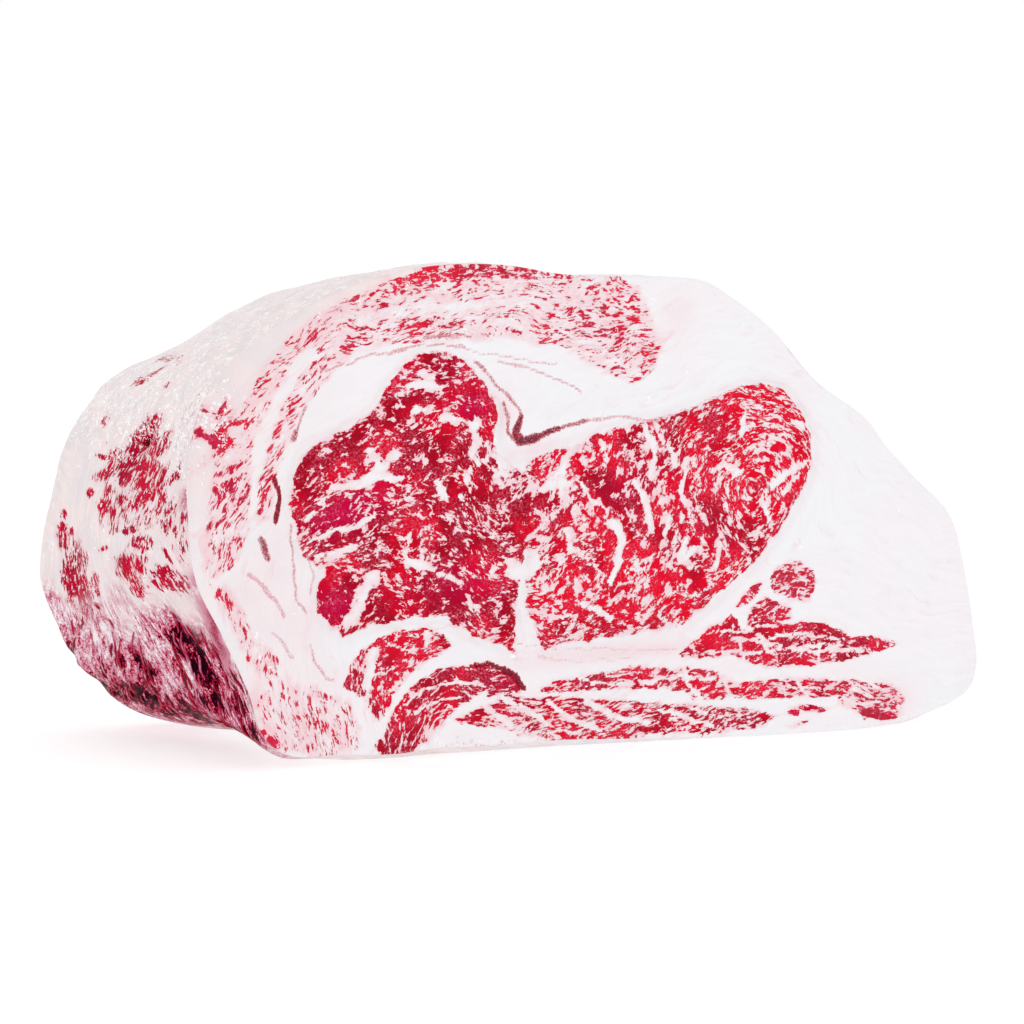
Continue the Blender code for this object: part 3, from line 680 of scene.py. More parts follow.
# grooves between the strands of the lower flank, which also get painted shade: points as depth and
# height, half width, sink
grooves = [
    ([(39, 56), (37, 48), (33, 38), (31, 30), (33, 20)], 3.6, 3.4),
    ([(25, 50), (23, 40), (24, 30), (18, 20)], 3.0, 2.0),
    ([(49, 44), (47, 36), (45, 28), (42, 18)], 1.8, 1.8),
    ([(64, 46), (67, 38), (71, 30), (77, 20)], 3.0, 2.8),
    ([(57, 34), (59, 27), (61, 19)], 1.5, 1.3),
    ([(80, 44), (83, 36), (88, 28), (93, 21)], 2.8, 2.2),
    ([(97, 41), (102, 33), (109, 27), (115, 21)], 3.2, 2.0),
    ([(115, 39), (119, 32), (124, 26)], 2.2, 1.3),
]
# what shows on the flank, as depth, height, half sizes, turn in degrees, strength
flankRed = [
    (52, 114, 12, 4.4, -33, 1.0), (40, 112, 4, 4, -45, 0.85), (31, 114, 6, 3, -42, 0.7),
    (48, 105.5, 15, 2.8, 0, 0.95), (69, 106, 6.4, 3, 8, 0.85), (81, 106, 6, 1.0, 5, 0.8),
    (73, 101, 8, 2, -10, 0.75), (59, 100.5, 6, 2.2, 0, 0.8), (45, 100, 12, 3, 0, 0.6),
    (27, 103, 5.5, 2, -45, 0.85), (17, 103.5, 5.5, 1.4, -33, 0.8), (28, 94, 5.5, 1.7, -61, 0.85),
    (22, 88, 6, 4, -60, 0.5), (30, 100, 5, 3, -45, 0.55),
    (41, 94.5, 7, 3.4, -20, 0.72), (49, 91.5, 4, 1.2, 0, 0.6), (59.5, 92.5, 3.6, 2, 20, 0.75),
    (71.5, 90, 2.8, 5.5, 0, 0.68), (75, 90, 3, 1.4, 10, 0.6), (65, 87, 3, 4, 0, 0.6),
    (85.5, 94, 3, 1.0, 0, 0.7), (68.5, 74, 2.4, 1.2, 0, 0.6), (62.5, 81, 3.4, 1.4, 0, 0.6),
    (52, 82, 4.6, 1.0, 0, 0.7), (42, 78, 7, 2, -8, 0.8), (49, 68.5, 9, 5, 0, 0.7),
    (46, 61, 3.4, 2.6, 0, 0.75), (25, 66.5, 6.5, 3.4, 15, 0.78), (24.5, 75, 4, 1.5, 50, 0.75),
    (33, 64, 2.4, 2.2, 0, 0.6), (86.5, 66, 3, 6, 0, 1.0), (92, 61, 6.4, 9, -20, 1.15),
    (97.5, 50.5, 5, 3, -35, 1.0), (94, 56, 5, 4, 0, 1.0), (91, 73, 2, 2.2, 0, 0.9),
    (94.5, 78, 2.2, 1.4, 0, 0.8),
    (102, 76.5, 4.8, 3.2, 30, 1), (104, 84.5, 2.6, 1.2, 20, 0.8), (78, 60.5, 3.6, 3.4, 0, 0.6),
    (80.5, 52.3, 3, 1.4, 0, 1.0), (76, 45, 3.4, 2.8, 0, 1.0), (81, 134.5, 5.5, 1.2, 0, 0.8),
    (76, 136.7, 4, 1.6, -10, 0.6), (48.5, 133.8, 2.6, 1.0, 0, 0.8), (91, 119.5, 4.6, 1.8, 0, 0.5),
    (85, 142.5, 20, 1.3, 2, 0.42), (95, 144.5, 18, 1.1, 2, 0.36), (100, 149, 14, 1.5, 8, 0.36),
    (6, 89.3, 8, 1.4, 0, 0.72), (17, 85, 3, 2, 0, 0.5), (131, 140, 2, 7, 0, 0.6),
    (131, 82, 1.6, 10, 0, 0.7), (131, 62, 1.6, 8, 0, 0.8), (130, 48, 2, 4, 0, 0.7),
    (50, 90, 24, 8, 0, 0.22), (44, 68, 18, 6, 0, 0.2), (90, 68, 10, 12, 30, 0.16),
    (14, 84, 7, 12, 0, 0.2), (4, 15, 9, 8, 0, 0.7), (6, 28, 5, 12, 0, 0.5),
]
# mauve films, and the pit's near-black core and the dark in the hollows by the front edge, which
# are partly painted shade of these recesses; the last number runs from mauve to blood dark
flankFilmsAndShade = [
    (53, 113.5, 3.4, 1.4, -33, 0.95, 1.0), (10.5, 96.5, 3, 2, 0, 0.6, 0.9),
    (11, 95, 6, 5.5, 0, 0.4, 0.3), (14, 67, 5, 5.5, 0, 0.42, 0.2),
    (8, 61.5, 7, 1.6, 0, 0.6, 0.8), (76, 45, 2.2, 1.8, 0, 0.6, 0.9),
    (80.5, 52, 2.2, 0.9, 0, 0.6, 0.9),
    (16, 47, 4.4, 14, 8, 0.85, 0.1), (60, 56, 12, 3, 0, 0.25, 0.0),
]
# how dark the lower flank is: partly the dark torn meat, partly painted shade laid along its
# grooves and its bottom edge
flankDarkAndPaintedShade = [
    (40.5, 42, 3.8, 4, 0, 1.0), (36, 38, 5, 9, -20, 1.0), (32.5, 29, 4.6, 10, 0, 1.0),
    (34, 50, 3.4, 4.5, -30, 0.55), (30, 44, 3, 6, 0, 0.5), (21, 34, 7, 18, 0, 0.5),
    (24, 20, 8, 3.5, 0, 0.5), (15, 12, 9, 3, 0, 0.5), (43, 20.5, 6, 3.6, 30, 0.85),
    (57, 18, 7, 3.5, 0, 0.6), (68, 31, 4, 6, -40, 0.85), (71.5, 24, 6, 4, -30, 0.8),
    (81, 31, 3.4, 6, -15, 0.75), (96.5, 28, 5, 3.4, 0, 0.6), (104, 24, 7, 3, -30, 0.45),
    (98, 17, 22, 4.6, -4, 0.85), (85, 19, 8, 4, 0, 0.6), (120, 18, 9, 5, 0, 0.6),
    (70, 13, 22, 4, -6, 0.6), (50, 10, 22, 4, -4, 0.4), (26, 8, 14, 3.5, 0, 0.4),
    (90, 7, 60, 6, 0, 0.3), (124, 32, 6, 12, 0, 0.4), (130, 50, 3, 20, 0, 0.3),
    (52, 30, 5, 8, 0, 0.14), (47, 30, 1.6, 5, -20, 0.4), (100, 44, 14, 4, -25, 0.12),
    (115, 36, 10, 3, -25, 0.22),
]
# where crumbs of fat sit on the flank
crumbAreas = [
    (9, 124, 7, 6, 0, 1.0), (14, 112, 6, 10, 0, 0.5), (4, 130, 4, 4, 0, 0.6),
    (48, 120, 14, 3, 10, 0.35), (70, 108, 8, 4, 0, 0.3),
]
# way of the fibres on the flank: depth, height, direction in degrees
flankGrain = [
    (20, 30, 72), (20, 45, 78), (33, 40, 62), (50, 35, 96), (58, 44, 100), (65, 30, 122),
    (44, 30, 60), (38, 22, 40), (80, 30, 108), (100, 30, 146), (120, 30, 158), (120, 52, 160),
    (96, 46, 146), (74, 50, 100), (60, 52, 90), (45, 55, 80), (30, 15, 150), (60, 14, 172),
    (95, 13, 176), (120, 16, 172), (8, 30, 76), (8, 50, 80), (14, 66, 80),
    (17, 104, 147), (27, 103, 135), (28, 94, 120), (31, 114, 138), (40, 112, 135),
    (51, 114, 147), (48, 105, 178), (45, 98, 176), (41, 94, 160), (59, 100, 178), (59, 92, 20),
    (70, 88, 112), (70, 106, 8), (78, 101, 170), (42, 78, 172), (50, 69, 30), (46, 62, 40),
    (25, 66, 20), (24, 75, 130), (92, 60, 112), (87, 66, 95), (98, 50, 150), (102, 77, 28),
    (90, 140, 2), (60, 150, 8), (20, 160, 14), (110, 120, 4), (20, 132, 10), (60, 130, 6),
    (110, 100, 6), (110, 150, 8), (10, 90, 0), (60, 172, 12), (130, 140, 5), (130, 70, 10),
]


skin = {
    "flankSteps": 330,
    "restSteps": 300,
    "flankShare": 0.26,     # how much of the outline is flank
    "depthStep": 1.25,
    "backCurl": 23,         # rows lie closer over this last stretch
    "backRows": 22,
    "tuck": [(0.0, 0.55), (0.45, 0.12), (0.9, 0.0)],  # under the front cut: way back, inset
    "backInset": 2.0,       # the last row turns in under the back cut
    "capDepths": (6, 128),
    "lumps": [(27, 1.5), (9, 0.55), (3.2, 0.2)],      # size and height in mm
    "grooveBends": (6.0, 1.2),
    "markBends": [(7.0, 2.2, 31.0), (2.4, 0.9, 37.0)],
    "tornBorder": (45, 63),       # heights over which the torn meat ends
    "tornRags": (15.0, 16.0),
    "stripHeight": 0.3,           # of each of the three strips on the map
    # share of painted highlights on the upper fat
    "paintedGlint": 0.78,
}


# how far the outer fat stands out, and how much shade is painted into its grooves
def skinRelief(x, y, z, flank):
    calm = ease(2, 14, y) * ease(2, 16, z) * (1 - ease(127, 134, y))
    lumps = np.zeros(x.shape)
    for size, height in skin["lumps"]:
        lumps += [height * noise.noise(Vector((px / size, py / size / 1.3, pz / size)))
                  for px, py, pz in zip(x, y, z)]
    rise = lumps * calm + patchSum(y, z, flankForms, add=True) * flank
    wy, wz = wobble(y, z, *skin["grooveBends"], 21.0)
    dark = np.zeros(x.shape)
    for points, width, depth in grooves:
        near = 1 - ease(0, width * 1.5, lineDistance(wy, wz + tracedLift, points))
        rise -= depth * near * flank
        # painted shade: the deeper the groove, the darker its floor
        dark = np.maximum(dark, near * depth / 3.2)
    return rise, dark


# all that the outer fat and the flank carry at these places
def skinFields(x, y, z, dark):
    onFlank = 1 - ease(8, 34, x - 20 * (1 - ease(18, 50, z)))
    wy, wz = y, z
    for size, amount, seed in skin["markBends"]:
        wy, wz = wobble(wy, wz, size, amount, seed)
    filmTone, most = np.ones(x.shape), np.zeros(x.shape)
    for *patch, tone in flankFilmsAndShade:
        near = patchSum(wy, wz, [patch])
        filmTone, most = np.where(near > most, tone, filmTone), np.maximum(near, most)
    red = patchSum(wy, wz, flankRed) * onFlank
    _, ragged = wobble(y, z, *skin["tornRags"], 43.0)
    ragged = 1 - ease(*skin["tornBorder"], ragged)
    torn = onFlank * np.maximum(ragged, 0.8 * patchAt(y - 13, z - 62, 6, 7, 0))
    torn *= ease(1, 9, y + 0.15 * z) * (1 - 0.9 * patchAt(y - 91, z - 59, 10, 11, 0))
    # painted shade from the grooves and the dark patches, on top of the torn meat's own darkness
    shade = 0.06 + patchSum(wy, wz, flankDarkAndPaintedShade, add=True) + 0.2 * dark
    # painted highlights: most on the upper left fat and on the flank, few on the torn meat
    paintedGlint = skin["paintedGlint"] * ease(104, 122, z) * (1 - 0.7 * ease(40, 110, x)) + 0.3 * onFlank
    paintedGlint -= 0.6 * (1 - ease(0, 3, y)) * ease(60, 75, z) + 0.5 * torn
    heel = (1 - ease(30, 45, z)) * (1 - ease(6, 16, y))
    # loose fibres hang down and away from the middle of the flank
    fibreShare = ease(0.5, 0.95, torn) * ease(0.12, 0.5, shade) * ease(9, 17, z)
    fibreShare *= ease(8, 16, y) * (1 - ease(112, 124, y))
    fibreRun = np.stack([np.zeros(len(y)), y - 45, z - 110], 1)
    fibreRun /= np.linalg.norm(fibreRun, axis=1)[:, None]
    return {
        "fatShare": np.interp(red, [0, 0.08, 0.25, 0.5, 0.75], [1.05, 0.62, 0.46, 0.34, 0.2]),
        "dash": 0.45 * onFlank * (1 - 0.6 * np.clip(red, 0, 1)),
        "pink": np.zeros(len(x)),
        "pale": 0.3 - 0.25 * onFlank,
        "tint": 0.45 - 0.1 * onFlank,
        "magenta": (0.2 + 0.5 * heel) * onFlank,
        "film": most * onFlank,
        "filmTone": filmTone,
        "torn": torn,
        "outer": 1 - 0.7 * ease(70, 150, x),
        "shade": np.clip(shade, 0, 1),
        "paintedGlint": paintedGlint,
        "across": grainAcross(y, z, flankGrain, 12.0) * onFlank + (z + 0.3 * x) * (1 - onFlank),
        "fibreShare": fibreShare,
        "fibreRun": fibreRun,
        "crumbShare": onFlank * patchSum(y, z, crumbAreas),
    }


# three strips stacked on the map, the flank whole in the first, and the caps above them
def skinUv(where, points, total, fans):
    count, tall = len(where), skin["stripHeight"]
    loop = np.vstack([edgePoints(where), edgePoints(where[:1])])
    arc = np.concatenate([[0], np.cumsum(np.hypot(*np.diff(loop, axis=0).T))])
    line = points[count // 8:total * count:count]
    deep = np.concatenate([[0], np.cumsum(np.linalg.norm(np.diff(line, axis=0), axis=1))])
    third = np.searchsorted(arc, [arc[-1] / 3, arc[-1] * 2 / 3])
    starts = np.array([0, *third, count])
    strip = np.searchsorted(starts, np.arange(count), "right") - 1
    left, right = arc[starts[strip]], arc[starts[strip + 1]]
    r, c = np.divmod(np.arange((total - 1) * count), count)
    uv = np.empty((len(r), 4, 2))
    for k, (row, column) in enumerate([(r, c), (r, c + 1), (r + 1, c + 1), (r + 1, c)]):
        uv[:, k, 0] = 0.004 + 0.992 * (arc[column] - left[c]) / (right[c] - left[c])
        uv[:, k, 1] = 0.005 + strip[c] * (tall + 0.01) + tall * deep[row] / deep[-1]
    outline = points[:, [0, 2]]
    outline = (outline - outline.min(0)) / np.ptp(outline, 0)
    fanUv = outline[fans] * (0.4, 0.055) + (0.05, 0.938)
    fanUv[count:, :, 0] += 0.5
    return np.concatenate([uv.reshape(-1, 2), fanUv.reshape(-1, 2)])


# the outer fat and the flank as one closed tube, tucked in under the cuts
def buildSkin(name):
    share, curl = skin["flankShare"], skin["backCurl"]
    first = np.arange(skin["flankSteps"]) / skin["flankSteps"] * share
    rest = share + np.arange(skin["restSteps"]) / skin["restSteps"] * (1 - share)
    where = np.concatenate([first, rest])
    count = len(where)
    begin = rimRadius(where) + 0.4
    depths = list(np.arange(0, block["depth"] - curl, skin["depthStep"]))
    depths += [block["depth"] - curl + (curl - 0.4) * math.sin(a)
               for a in np.linspace(0, math.pi / 2, skin["backRows"])]
    tuck = skin["tuck"] + [(depth, 0.0) for depth in depths if depth > 1.2]
    tuck.append((depths[-1] - 1, skin["backInset"]))
    rows = []
    for depth, inset in tuck:
        y = begin + depth * (block["depth"] - begin) / block["depth"]
        ring = ringAt(where, y, inset)
        rows.append(np.stack([ring[:, 0], y, ring[:, 1]], 1))
    total = len(rows)
    grid = np.concatenate(rows)
    flank = np.tile(1 - ease(0, 34, edgePoints(where)[:, 0]), total)
    rise, dark = skinRelief(*grid.T, flank)
    grid[:, [0, 2]] += np.tile(edgeNormals(where), (total, 1)) * rise[:, None]
    grid[:, 2] = np.maximum(grid[:, 2], 0)
    near, far = grid[:count].mean(0), grid[-count:].mean(0)
    near[1], far[1] = skin["capDepths"]
    points = np.concatenate([grid, [near, far]])
    r, c = np.divmod(np.arange((total - 1) * count), count)
    after = (c + 1) % count
    quads = np.stack([r * count + c, r * count + after, (r + 1) * count + after,
                      (r + 1) * count + c], 1)
    ring = np.arange(count)
    last = (total - 1) * count + ring
    fans = np.concatenate([
        np.stack([np.full(count, total * count), np.roll(ring, -1), ring], 1),
        np.stack([np.full(count, total * count + 1), last, np.roll(last, -1)], 1)])
    fields = skinFields(*points.T, np.concatenate([dark, [0, 0]]))
    return makeMesh(name, points, quads.tolist() + fans.tolist(), fields,
                    skinUv(where, points, total, fans))


# colour as read on screen, to the linear value a shader takes
def fromScreen(red, green, blue):
    return tuple((c / 255 / 12.92 if c <= 10 else ((c / 255 + 0.055) / 1.055) ** 2.4)
                 for c in (red, green, blue)) + (1.0,)


# add a node, set it up and link or fill its inputs
def put(tree, kind, inputs=None, **settings):
    item = tree.nodes.new(kind)
    for label, value in settings.items():
        setattr(item, label, value)
    for socket, value in (inputs or {}).items():
        if isinstance(value, bpy.types.NodeSocket):
            tree.links.new(value, item.inputs[socket])
        else:
            item.inputs[socket].default_value = value
    return item


def sums(tree, operation, *values, clamp=False):
    item = put(tree, "ShaderNodeMath", dict(enumerate(values)), operation=operation)
    item.use_clamp = clamp
    return item.outputs[0]


def vectorSum(tree, operation, first, second):
    slot = 3 if operation == "SCALE" else 1
    return put(tree, "ShaderNodeVectorMath", {0: first, slot: second},
               operation=operation).outputs[0]


# how far a value lies from 0.5
def fromMiddle(tree, value):
    return sums(tree, "ABSOLUTE", sums(tree, "SUBTRACT", value, 0.5))


# colours are sockets or read on screen
def blendColour(tree, share, first, second):
    first, second = [fromScreen(*colour) if isinstance(colour, tuple) else colour
                     for colour in (first, second)]
    return put(tree, "ShaderNodeMix", {0: share, 6: first, 7: second},
               data_type="RGBA").outputs[2]


# colour ramp through stops of position and colour
def rampOf(tree, value, stops):
    ramp = put(tree, "ShaderNodeValToRGB", {"Fac": value})
    items = ramp.color_ramp.elements
    for k, (where, colour) in enumerate([stops[0], stops[-1], *stops[1:-1]]):
        stop = items[k] if k < 2 else items.new(where)
        stop.position = where
        stop.color = fromScreen(*colour)
    return ramp.outputs[0]


def rangeOf(tree, value, low, high, outLow=0.0, outHigh=1.0, smooth=True):
    kind = "SMOOTHSTEP" if smooth else "LINEAR"
    item = put(tree, "ShaderNodeMapRange", {0: value, 1: low, 2: high, 3: outLow, 4: outHigh},
               interpolation_type=kind)
    return item.outputs[0]


# a field stored on the mesh
def field(tree, label):
    return put(tree, "ShaderNodeAttribute", attribute_name=label).outputs["Fac"]


# places in mm
def placeIn(tree, shift=(0.0, 0.0, 0.0)):
    place = put(tree, "ShaderNodeTexCoord").outputs["Object"]
    return vectorSum(tree, "ADD", vectorSum(tree, "SCALE", place, 1 / mm), shift)


# noise drawn out along the grain; length and width in mm
def grainNoise(tree, place, across, length, width, detail, roughness, twist=0.0):
    offset = sums(tree, "MULTIPLY", across, length / width)
    item = put(tree, "ShaderNodeTexNoise",
               {"Vector": place, "W": offset, "Scale": 1 / length, "Detail": detail,
                "Roughness": roughness, "Distortion": twist}, noise_dimensions="4D")
    return item.outputs[0]


def plainNoise(tree, place, size, detail, roughness=0.5, twist=0.0):
    item = put(tree, "ShaderNodeTexNoise",
               {"Vector": place, "Scale": 1 / size, "Detail": detail, "Roughness": roughness,
                "Distortion": twist})
    return item.outputs[0]


# the marbling noise, and how far it beats the fat share: above 0 lean shows
def marbling(tree, look, place, across):
    marble = grainNoise(tree, place, across, *look["marble"], 7.0, 0.64, 0.25)
    dashes = grainNoise(tree, place, across, *look["dashes"], 5.0, 0.62)
    mixed = put(tree, "ShaderNodeMix", {0: field(tree, "dash"), 2: marble, 3: dashes}).outputs[0]
    vein = fromMiddle(tree, grainNoise(tree, place, across, 11.0, 6.5, 3.0, 0.5, 0.3))
    value = sums(tree, "SUBTRACT", mixed, rangeOf(tree, vein, 0.0, 0.03, look["veins"], 0.0))
    level = sums(tree, "MULTIPLY_ADD", field(tree, "fatShare"), look["spread"],
                 0.5 - look["spread"] / 2)
    over = sums(tree, "SUBTRACT", value, level)
    # small white flecks inside the lean, thicker in some areas than in others
    flecks = grainNoise(tree, place, across, 3.0, 1.4, 4.0, 0.6)
    areas = rangeOf(tree, plainNoise(tree, place, 10.0, 2.0), 0.38, 0.62, look["fleckFew"],
                    look["fleckMany"])
    return value, sums(tree, "MINIMUM", over, sums(tree, "SUBTRACT", areas, flecks))


# lean: crimson in patches, with a pale haze and a lighter edge against the fat
def leanShade(tree, look, place, over):
    pale = field(tree, "pale")
    tone = rangeOf(tree, plainNoise(tree, place, 16.0, 3.0), 0.35, 0.65, -0.3, 0.3)
    tone = sums(tree, "ADD", tone, field(tree, "tint"))
    colour = blendColour(tree, rangeOf(tree, tone, 0.1, 0.9), look["dark"], look["lean"])
    colour = blendColour(tree, field(tree, "magenta"), colour, look["magenta"])
    haze = rangeOf(tree, plainNoise(tree, place, 0.9, 4.0, 0.65), 0.46, 0.66)
    areas = rangeOf(tree, plainNoise(tree, place, 7.0, 3.0), 0.4, 0.62, 0.02, look["hazeMost"])
    haze = sums(tree, "MULTIPLY_ADD", pale, 0.2, sums(tree, "MULTIPLY", haze, areas), clamp=True)
    colour = blendColour(tree, haze, colour, look["haze"])
    rim = sums(tree, "MULTIPLY", sums(tree, "MULTIPLY_ADD", pale, 0.05, 0.035), look["edgeWidth"])
    return blendColour(tree, rangeOf(tree, over, -0.01, rim), look["edge"], colour)


# fat: streaked along the grain, blushed where the share is low, pink beside lean
def fatShade(tree, look, place, across, over, grains):
    inner = rangeOf(tree, plainNoise(tree, place, 30.0, 3.0), 0.4, 0.62)
    inner = blendColour(tree, inner, look["fatWarm"], look["fatCool"])
    outer = rangeOf(tree, plainNoise(tree, place, 11.0, 4.0), 0.38, 0.62)
    outer = blendColour(tree, outer, look["outerWarm"], look["outerCool"])
    colour = blendColour(tree, field(tree, "outer"), inner, outer)
    streaks = grainNoise(tree, place, across, 14.0, 1.6, 5.0, 0.66)
    streaks = rangeOf(tree, streaks, 0.36, 0.64, 1 - look["streaks"], 1.0 + look["streaks"] * 0.4)
    colour = vectorSum(tree, "SCALE", colour, streaks)
    blush = grainNoise(tree, place, across, 9.0, 3.0, 5.0, 0.66)
    blush = sums(tree, "MULTIPLY_ADD", field(tree, "fatShare"), -0.28, blush)
    blush = rangeOf(tree, blush, 0.17, 0.47, 0.0, look["blush"])
    blush = sums(tree, "MULTIPLY_ADD", field(tree, "pink"),
                 rangeOf(tree, grains, 0.3, 0.7, 0.6, 1.1), blush, clamp=True)
    colour = blendColour(tree, blush, colour, look["blushColour"])
    skirt = sums(tree, "MULTIPLY", rangeOf(tree, over, -0.1, 0.0, smooth=False),
                 rangeOf(tree, field(tree, "tint"), 0.3, 1.0, 0.5, 0.2, smooth=False))
    return blendColour(tree, skirt, colour, look["skirt"])


# torn meat: fibres from white through mauve and crimson to nearly black; the shade field, which
# holds painted shade as well as dark meat, pulls it darker
def tornShade(tree, look, place, across, grains):
    coarse = grainNoise(tree, place, across, 7.0, 2.6, 5.0, 0.7)
    fibres = grainNoise(tree, place, across, 3.0, 1.0, 4.0, 0.7)
    fibres = rangeOf(tree, sums(tree, "MULTIPLY_ADD", fibres, 0.7, coarse), 0.67, 1.03,
                     smooth=False)
    speck = sums(tree, "MULTIPLY_ADD", sums(tree, "SUBTRACT", grains, 0.5), 1.7, 0.25)
    bright = sums(tree, "MULTIPLY_ADD", field(tree, "shade"), -0.74,
                  sums(tree, "ADD", fibres, speck))
    return rampOf(tree, bright, look["torn"])


# membranes from brown over purple to blood, with a lighter ring round them
def filmShade(tree, look, place, film):
    tone = field(tree, "filmTone")
    colour = blendColour(tree, rangeOf(tree, tone, 0.0, 0.5, smooth=False), look["filmBrown"],
                         look["filmPurple"])
    colour = blendColour(tree, rangeOf(tree, tone, 0.5, 1.0, smooth=False), colour,
                         look["filmBlood"])
    specks = rangeOf(tree, plainNoise(tree, place, 1.1, 3.0, 0.6), 0.54, 0.6)
    colour = blendColour(tree, specks, colour, look["filmSpeck"])
    ring = blendColour(tree, rangeOf(tree, tone, 0.2, 0.7), look["filmRing"], look["bloodRing"])
    return blendColour(tree, rangeOf(tree, film, 0.35, 0.8), ring, colour)


# painted highlights: wet glints drawn as short white squiggles, where a smooth noise passes its
# middle
def paintedWetGlints(tree, place):
    lines = fromMiddle(tree, plainNoise(tree, place, 4.0, 2.0, twist=1.2))
    lines = rangeOf(tree, lines, 0.034, 0.014)
    areas = sums(tree, "MULTIPLY_ADD", field(tree, "paintedGlint"), 0.22,
                 plainNoise(tree, place, 4.5, 3.0, 0.6))
    return sums(tree, "MULTIPLY", lines, rangeOf(tree, areas, 0.66, 0.73), clamp=True)


def newMaterial(name, values):
    material = bpy.data.materials.new(name)
    material.use_nodes = True
    shader = material.node_tree.nodes["Principled BSDF"]
    for label, value in values.items():
        shader.inputs[label].default_value = value
    return material, material.node_tree, shader


def meatMaterial(name, look):
    material, tree, shader = newMaterial(name, {"Specular IOR Level": look["specular"]})
    place, across = placeIn(tree, look["shift"]), field(tree, "across")
    value, over = marbling(tree, look, place, across)
    grains = plainNoise(tree, place, 0.7, 3.0, 0.65)
    lean = rangeOf(tree, over, -look["leanSoft"], look["leanSoft"] * 0.6)
    colour = blendColour(tree, lean, fatShade(tree, look, place, across, over, grains),
                         leanShade(tree, look, place, over))
    if look["torn"]:
        colour = blendColour(tree, field(tree, "torn"), colour,
                             tornShade(tree, look, place, across, grains))
    film = sums(tree, "MULTIPLY_ADD", sums(tree, "SUBTRACT", grains, 0.5), look["filmGrain"], 1.0)
    film = sums(tree, "MULTIPLY", film, field(tree, "film"))
    colour = blendColour(tree, rangeOf(tree, film, 0.1, 0.42, 0.0, look["filmCover"]), colour,
                         filmShade(tree, look, place, film))
    # painted highlights: white wet glints laid into the base colour
    colour = blendColour(tree, paintedWetGlints(tree, place), colour, (255, 255, 255))
    tree.links.new(colour, shader.inputs["Base Color"])

    height = sums(tree, "MULTIPLY", plainNoise(tree, place, 0.8, 3.0, 0.6), look["grit"])
    height = sums(tree, "MULTIPLY_ADD", lean, -0.12, height)
    height = sums(tree, "MULTIPLY_ADD", value, sums(tree, "MULTIPLY_ADD", lean, 0.4, 0.1), height)
    bump = put(tree, "ShaderNodeBump", {"Height": height, "Strength": 1.0,
                                        "Distance": look["bump"] * mm})
    tree.links.new(bump.outputs[0], shader.inputs["Normal"])
    rough = rangeOf(tree, plainNoise(tree, place, 9.0, 3.0), 0.35, 0.65, *look["roughness"])
    tree.links.new(rough, shader.inputs["Roughness"])
    return material


# the look of each face: sizes in mm, colours as read on screen
cutLook = {
    "shift": (0.0, 0.0, 0.0),
    "marble": (4.4, 2.5), "dashes": (4.0, 1.0),      # length and width of the two grains
    "spread": 0.5, "veins": 0.08, "fleckFew": 0.63, "fleckMany": 0.55,
    "lean": (225, 0, 38), "dark": (160, 0, 28), "magenta": (202, 0, 74), "leanSoft": 0.014,
    "edge": (212, 34, 68), "edgeWidth": 1.0, "haze": (226, 104, 134), "hazeMost": 0.7,
    "fatWarm": (240, 236, 239), "fatCool": (238, 238, 241),
    "outerWarm": (239, 227, 226), "outerCool": (231, 223, 225), "streaks": 0.02,
    "blush": 0.7, "blushColour": (238, 203, 209), "skirt": (236, 170, 182),
    "filmBrown": (172, 96, 102), "filmPurple": (98, 16, 40), "filmBlood": (100, 0, 26),
    "filmRing": (220, 168, 176), "bloodRing": (180, 14, 48), "filmSpeck": (186, 16, 52),
    "filmGrain": 3.4, "filmCover": 0.97, "torn": None,
    "grit": 0.1, "bump": 0.6, "roughness": (0.35, 0.5), "specular": 0.03,
}
backLook = dict(cutLook, shift=(0.0, 60.0, 0.0))
skinLook = dict(
    cutLook, shift=(0.0, 0.0, 40.0), marble=(4.0, 1.4), dashes=(4.4, 1.0), veins=0.04,
    fleckFew=0.6, fleckMany=0.53, lean=(206, 0, 40), dark=(160, 0, 32), leanSoft=0.008,
    edge=(206, 20, 62), edgeWidth=0.4, hazeMost=0.3, streaks=0.06, blush=0.45,
    skirt=(226, 178, 186), filmBrown=(158, 74, 98), filmPurple=(160, 30, 74),
    filmBlood=(48, 2, 16), filmRing=(208, 142, 160), bloodRing=(160, 0, 36),
    filmGrain=1.6, filmCover=1.0, grit=0.2, roughness=(0.2, 0.38), specular=0.006,
    torn=[(0.08, (34, 2, 17)), (0.16, (92, 0, 30)), (0.24, (176, 2, 48)),
          (0.4, (196, 50, 90)), (0.54, (206, 138, 160)), (0.8, (224, 192, 202)),
          (1.0, (241, 233, 236))])

frontCut = ownPiece(buildCut("ribeye_front_cut", 0.0, -1, 3.0),
                    meatMaterial("marbledBeef", cutLook))
print("front cut built")
ownPiece(buildCut("ribeye_back_cut", block["depth"], 1, 11.0),
         meatMaterial("marbledBeefBack", backLook))
print("back cut built")
outerSkin = ownPiece(buildSkin("ribeye_outer_fat"), meatMaterial("outerFat", skinLook))
print("outer fat built")


# strands of torn meat that lie on the lower flank; sizes in mm
strands = {
    "density": 0.032,         # to the square mm where the meat is most torn
    "length": (6.0, 17.0),
    "thickness": (0.35, 0.95),
    "lift": 0.9,
    "waver": 4.8,
    "steps": 16,
    "tones": (0.05, 0.7),     # place on the ramp of wetLook
    "seed": 5,
}
# wet crumbs of fat on the upper flank and the rim of the cut
crumbs = {
    "density": 1.5,
    "size": (0.3, 0.75),
    "flat": 0.45,
    "uneven": 0.8,
    "tones": (0.78, 1.1),
    "seed": 8,
}
# from dark red through mauve to white
wetLook = {
    "tones": [(0.0, (104, 0, 30)), (0.3, (182, 2, 50)), (0.5, (196, 70, 108)),
              (0.66, (212, 148, 168)), (0.82, (232, 206, 214)), (1.0, (246, 244, 245))],
    "roughness": 0.22,
    "specular": 0.14,
}


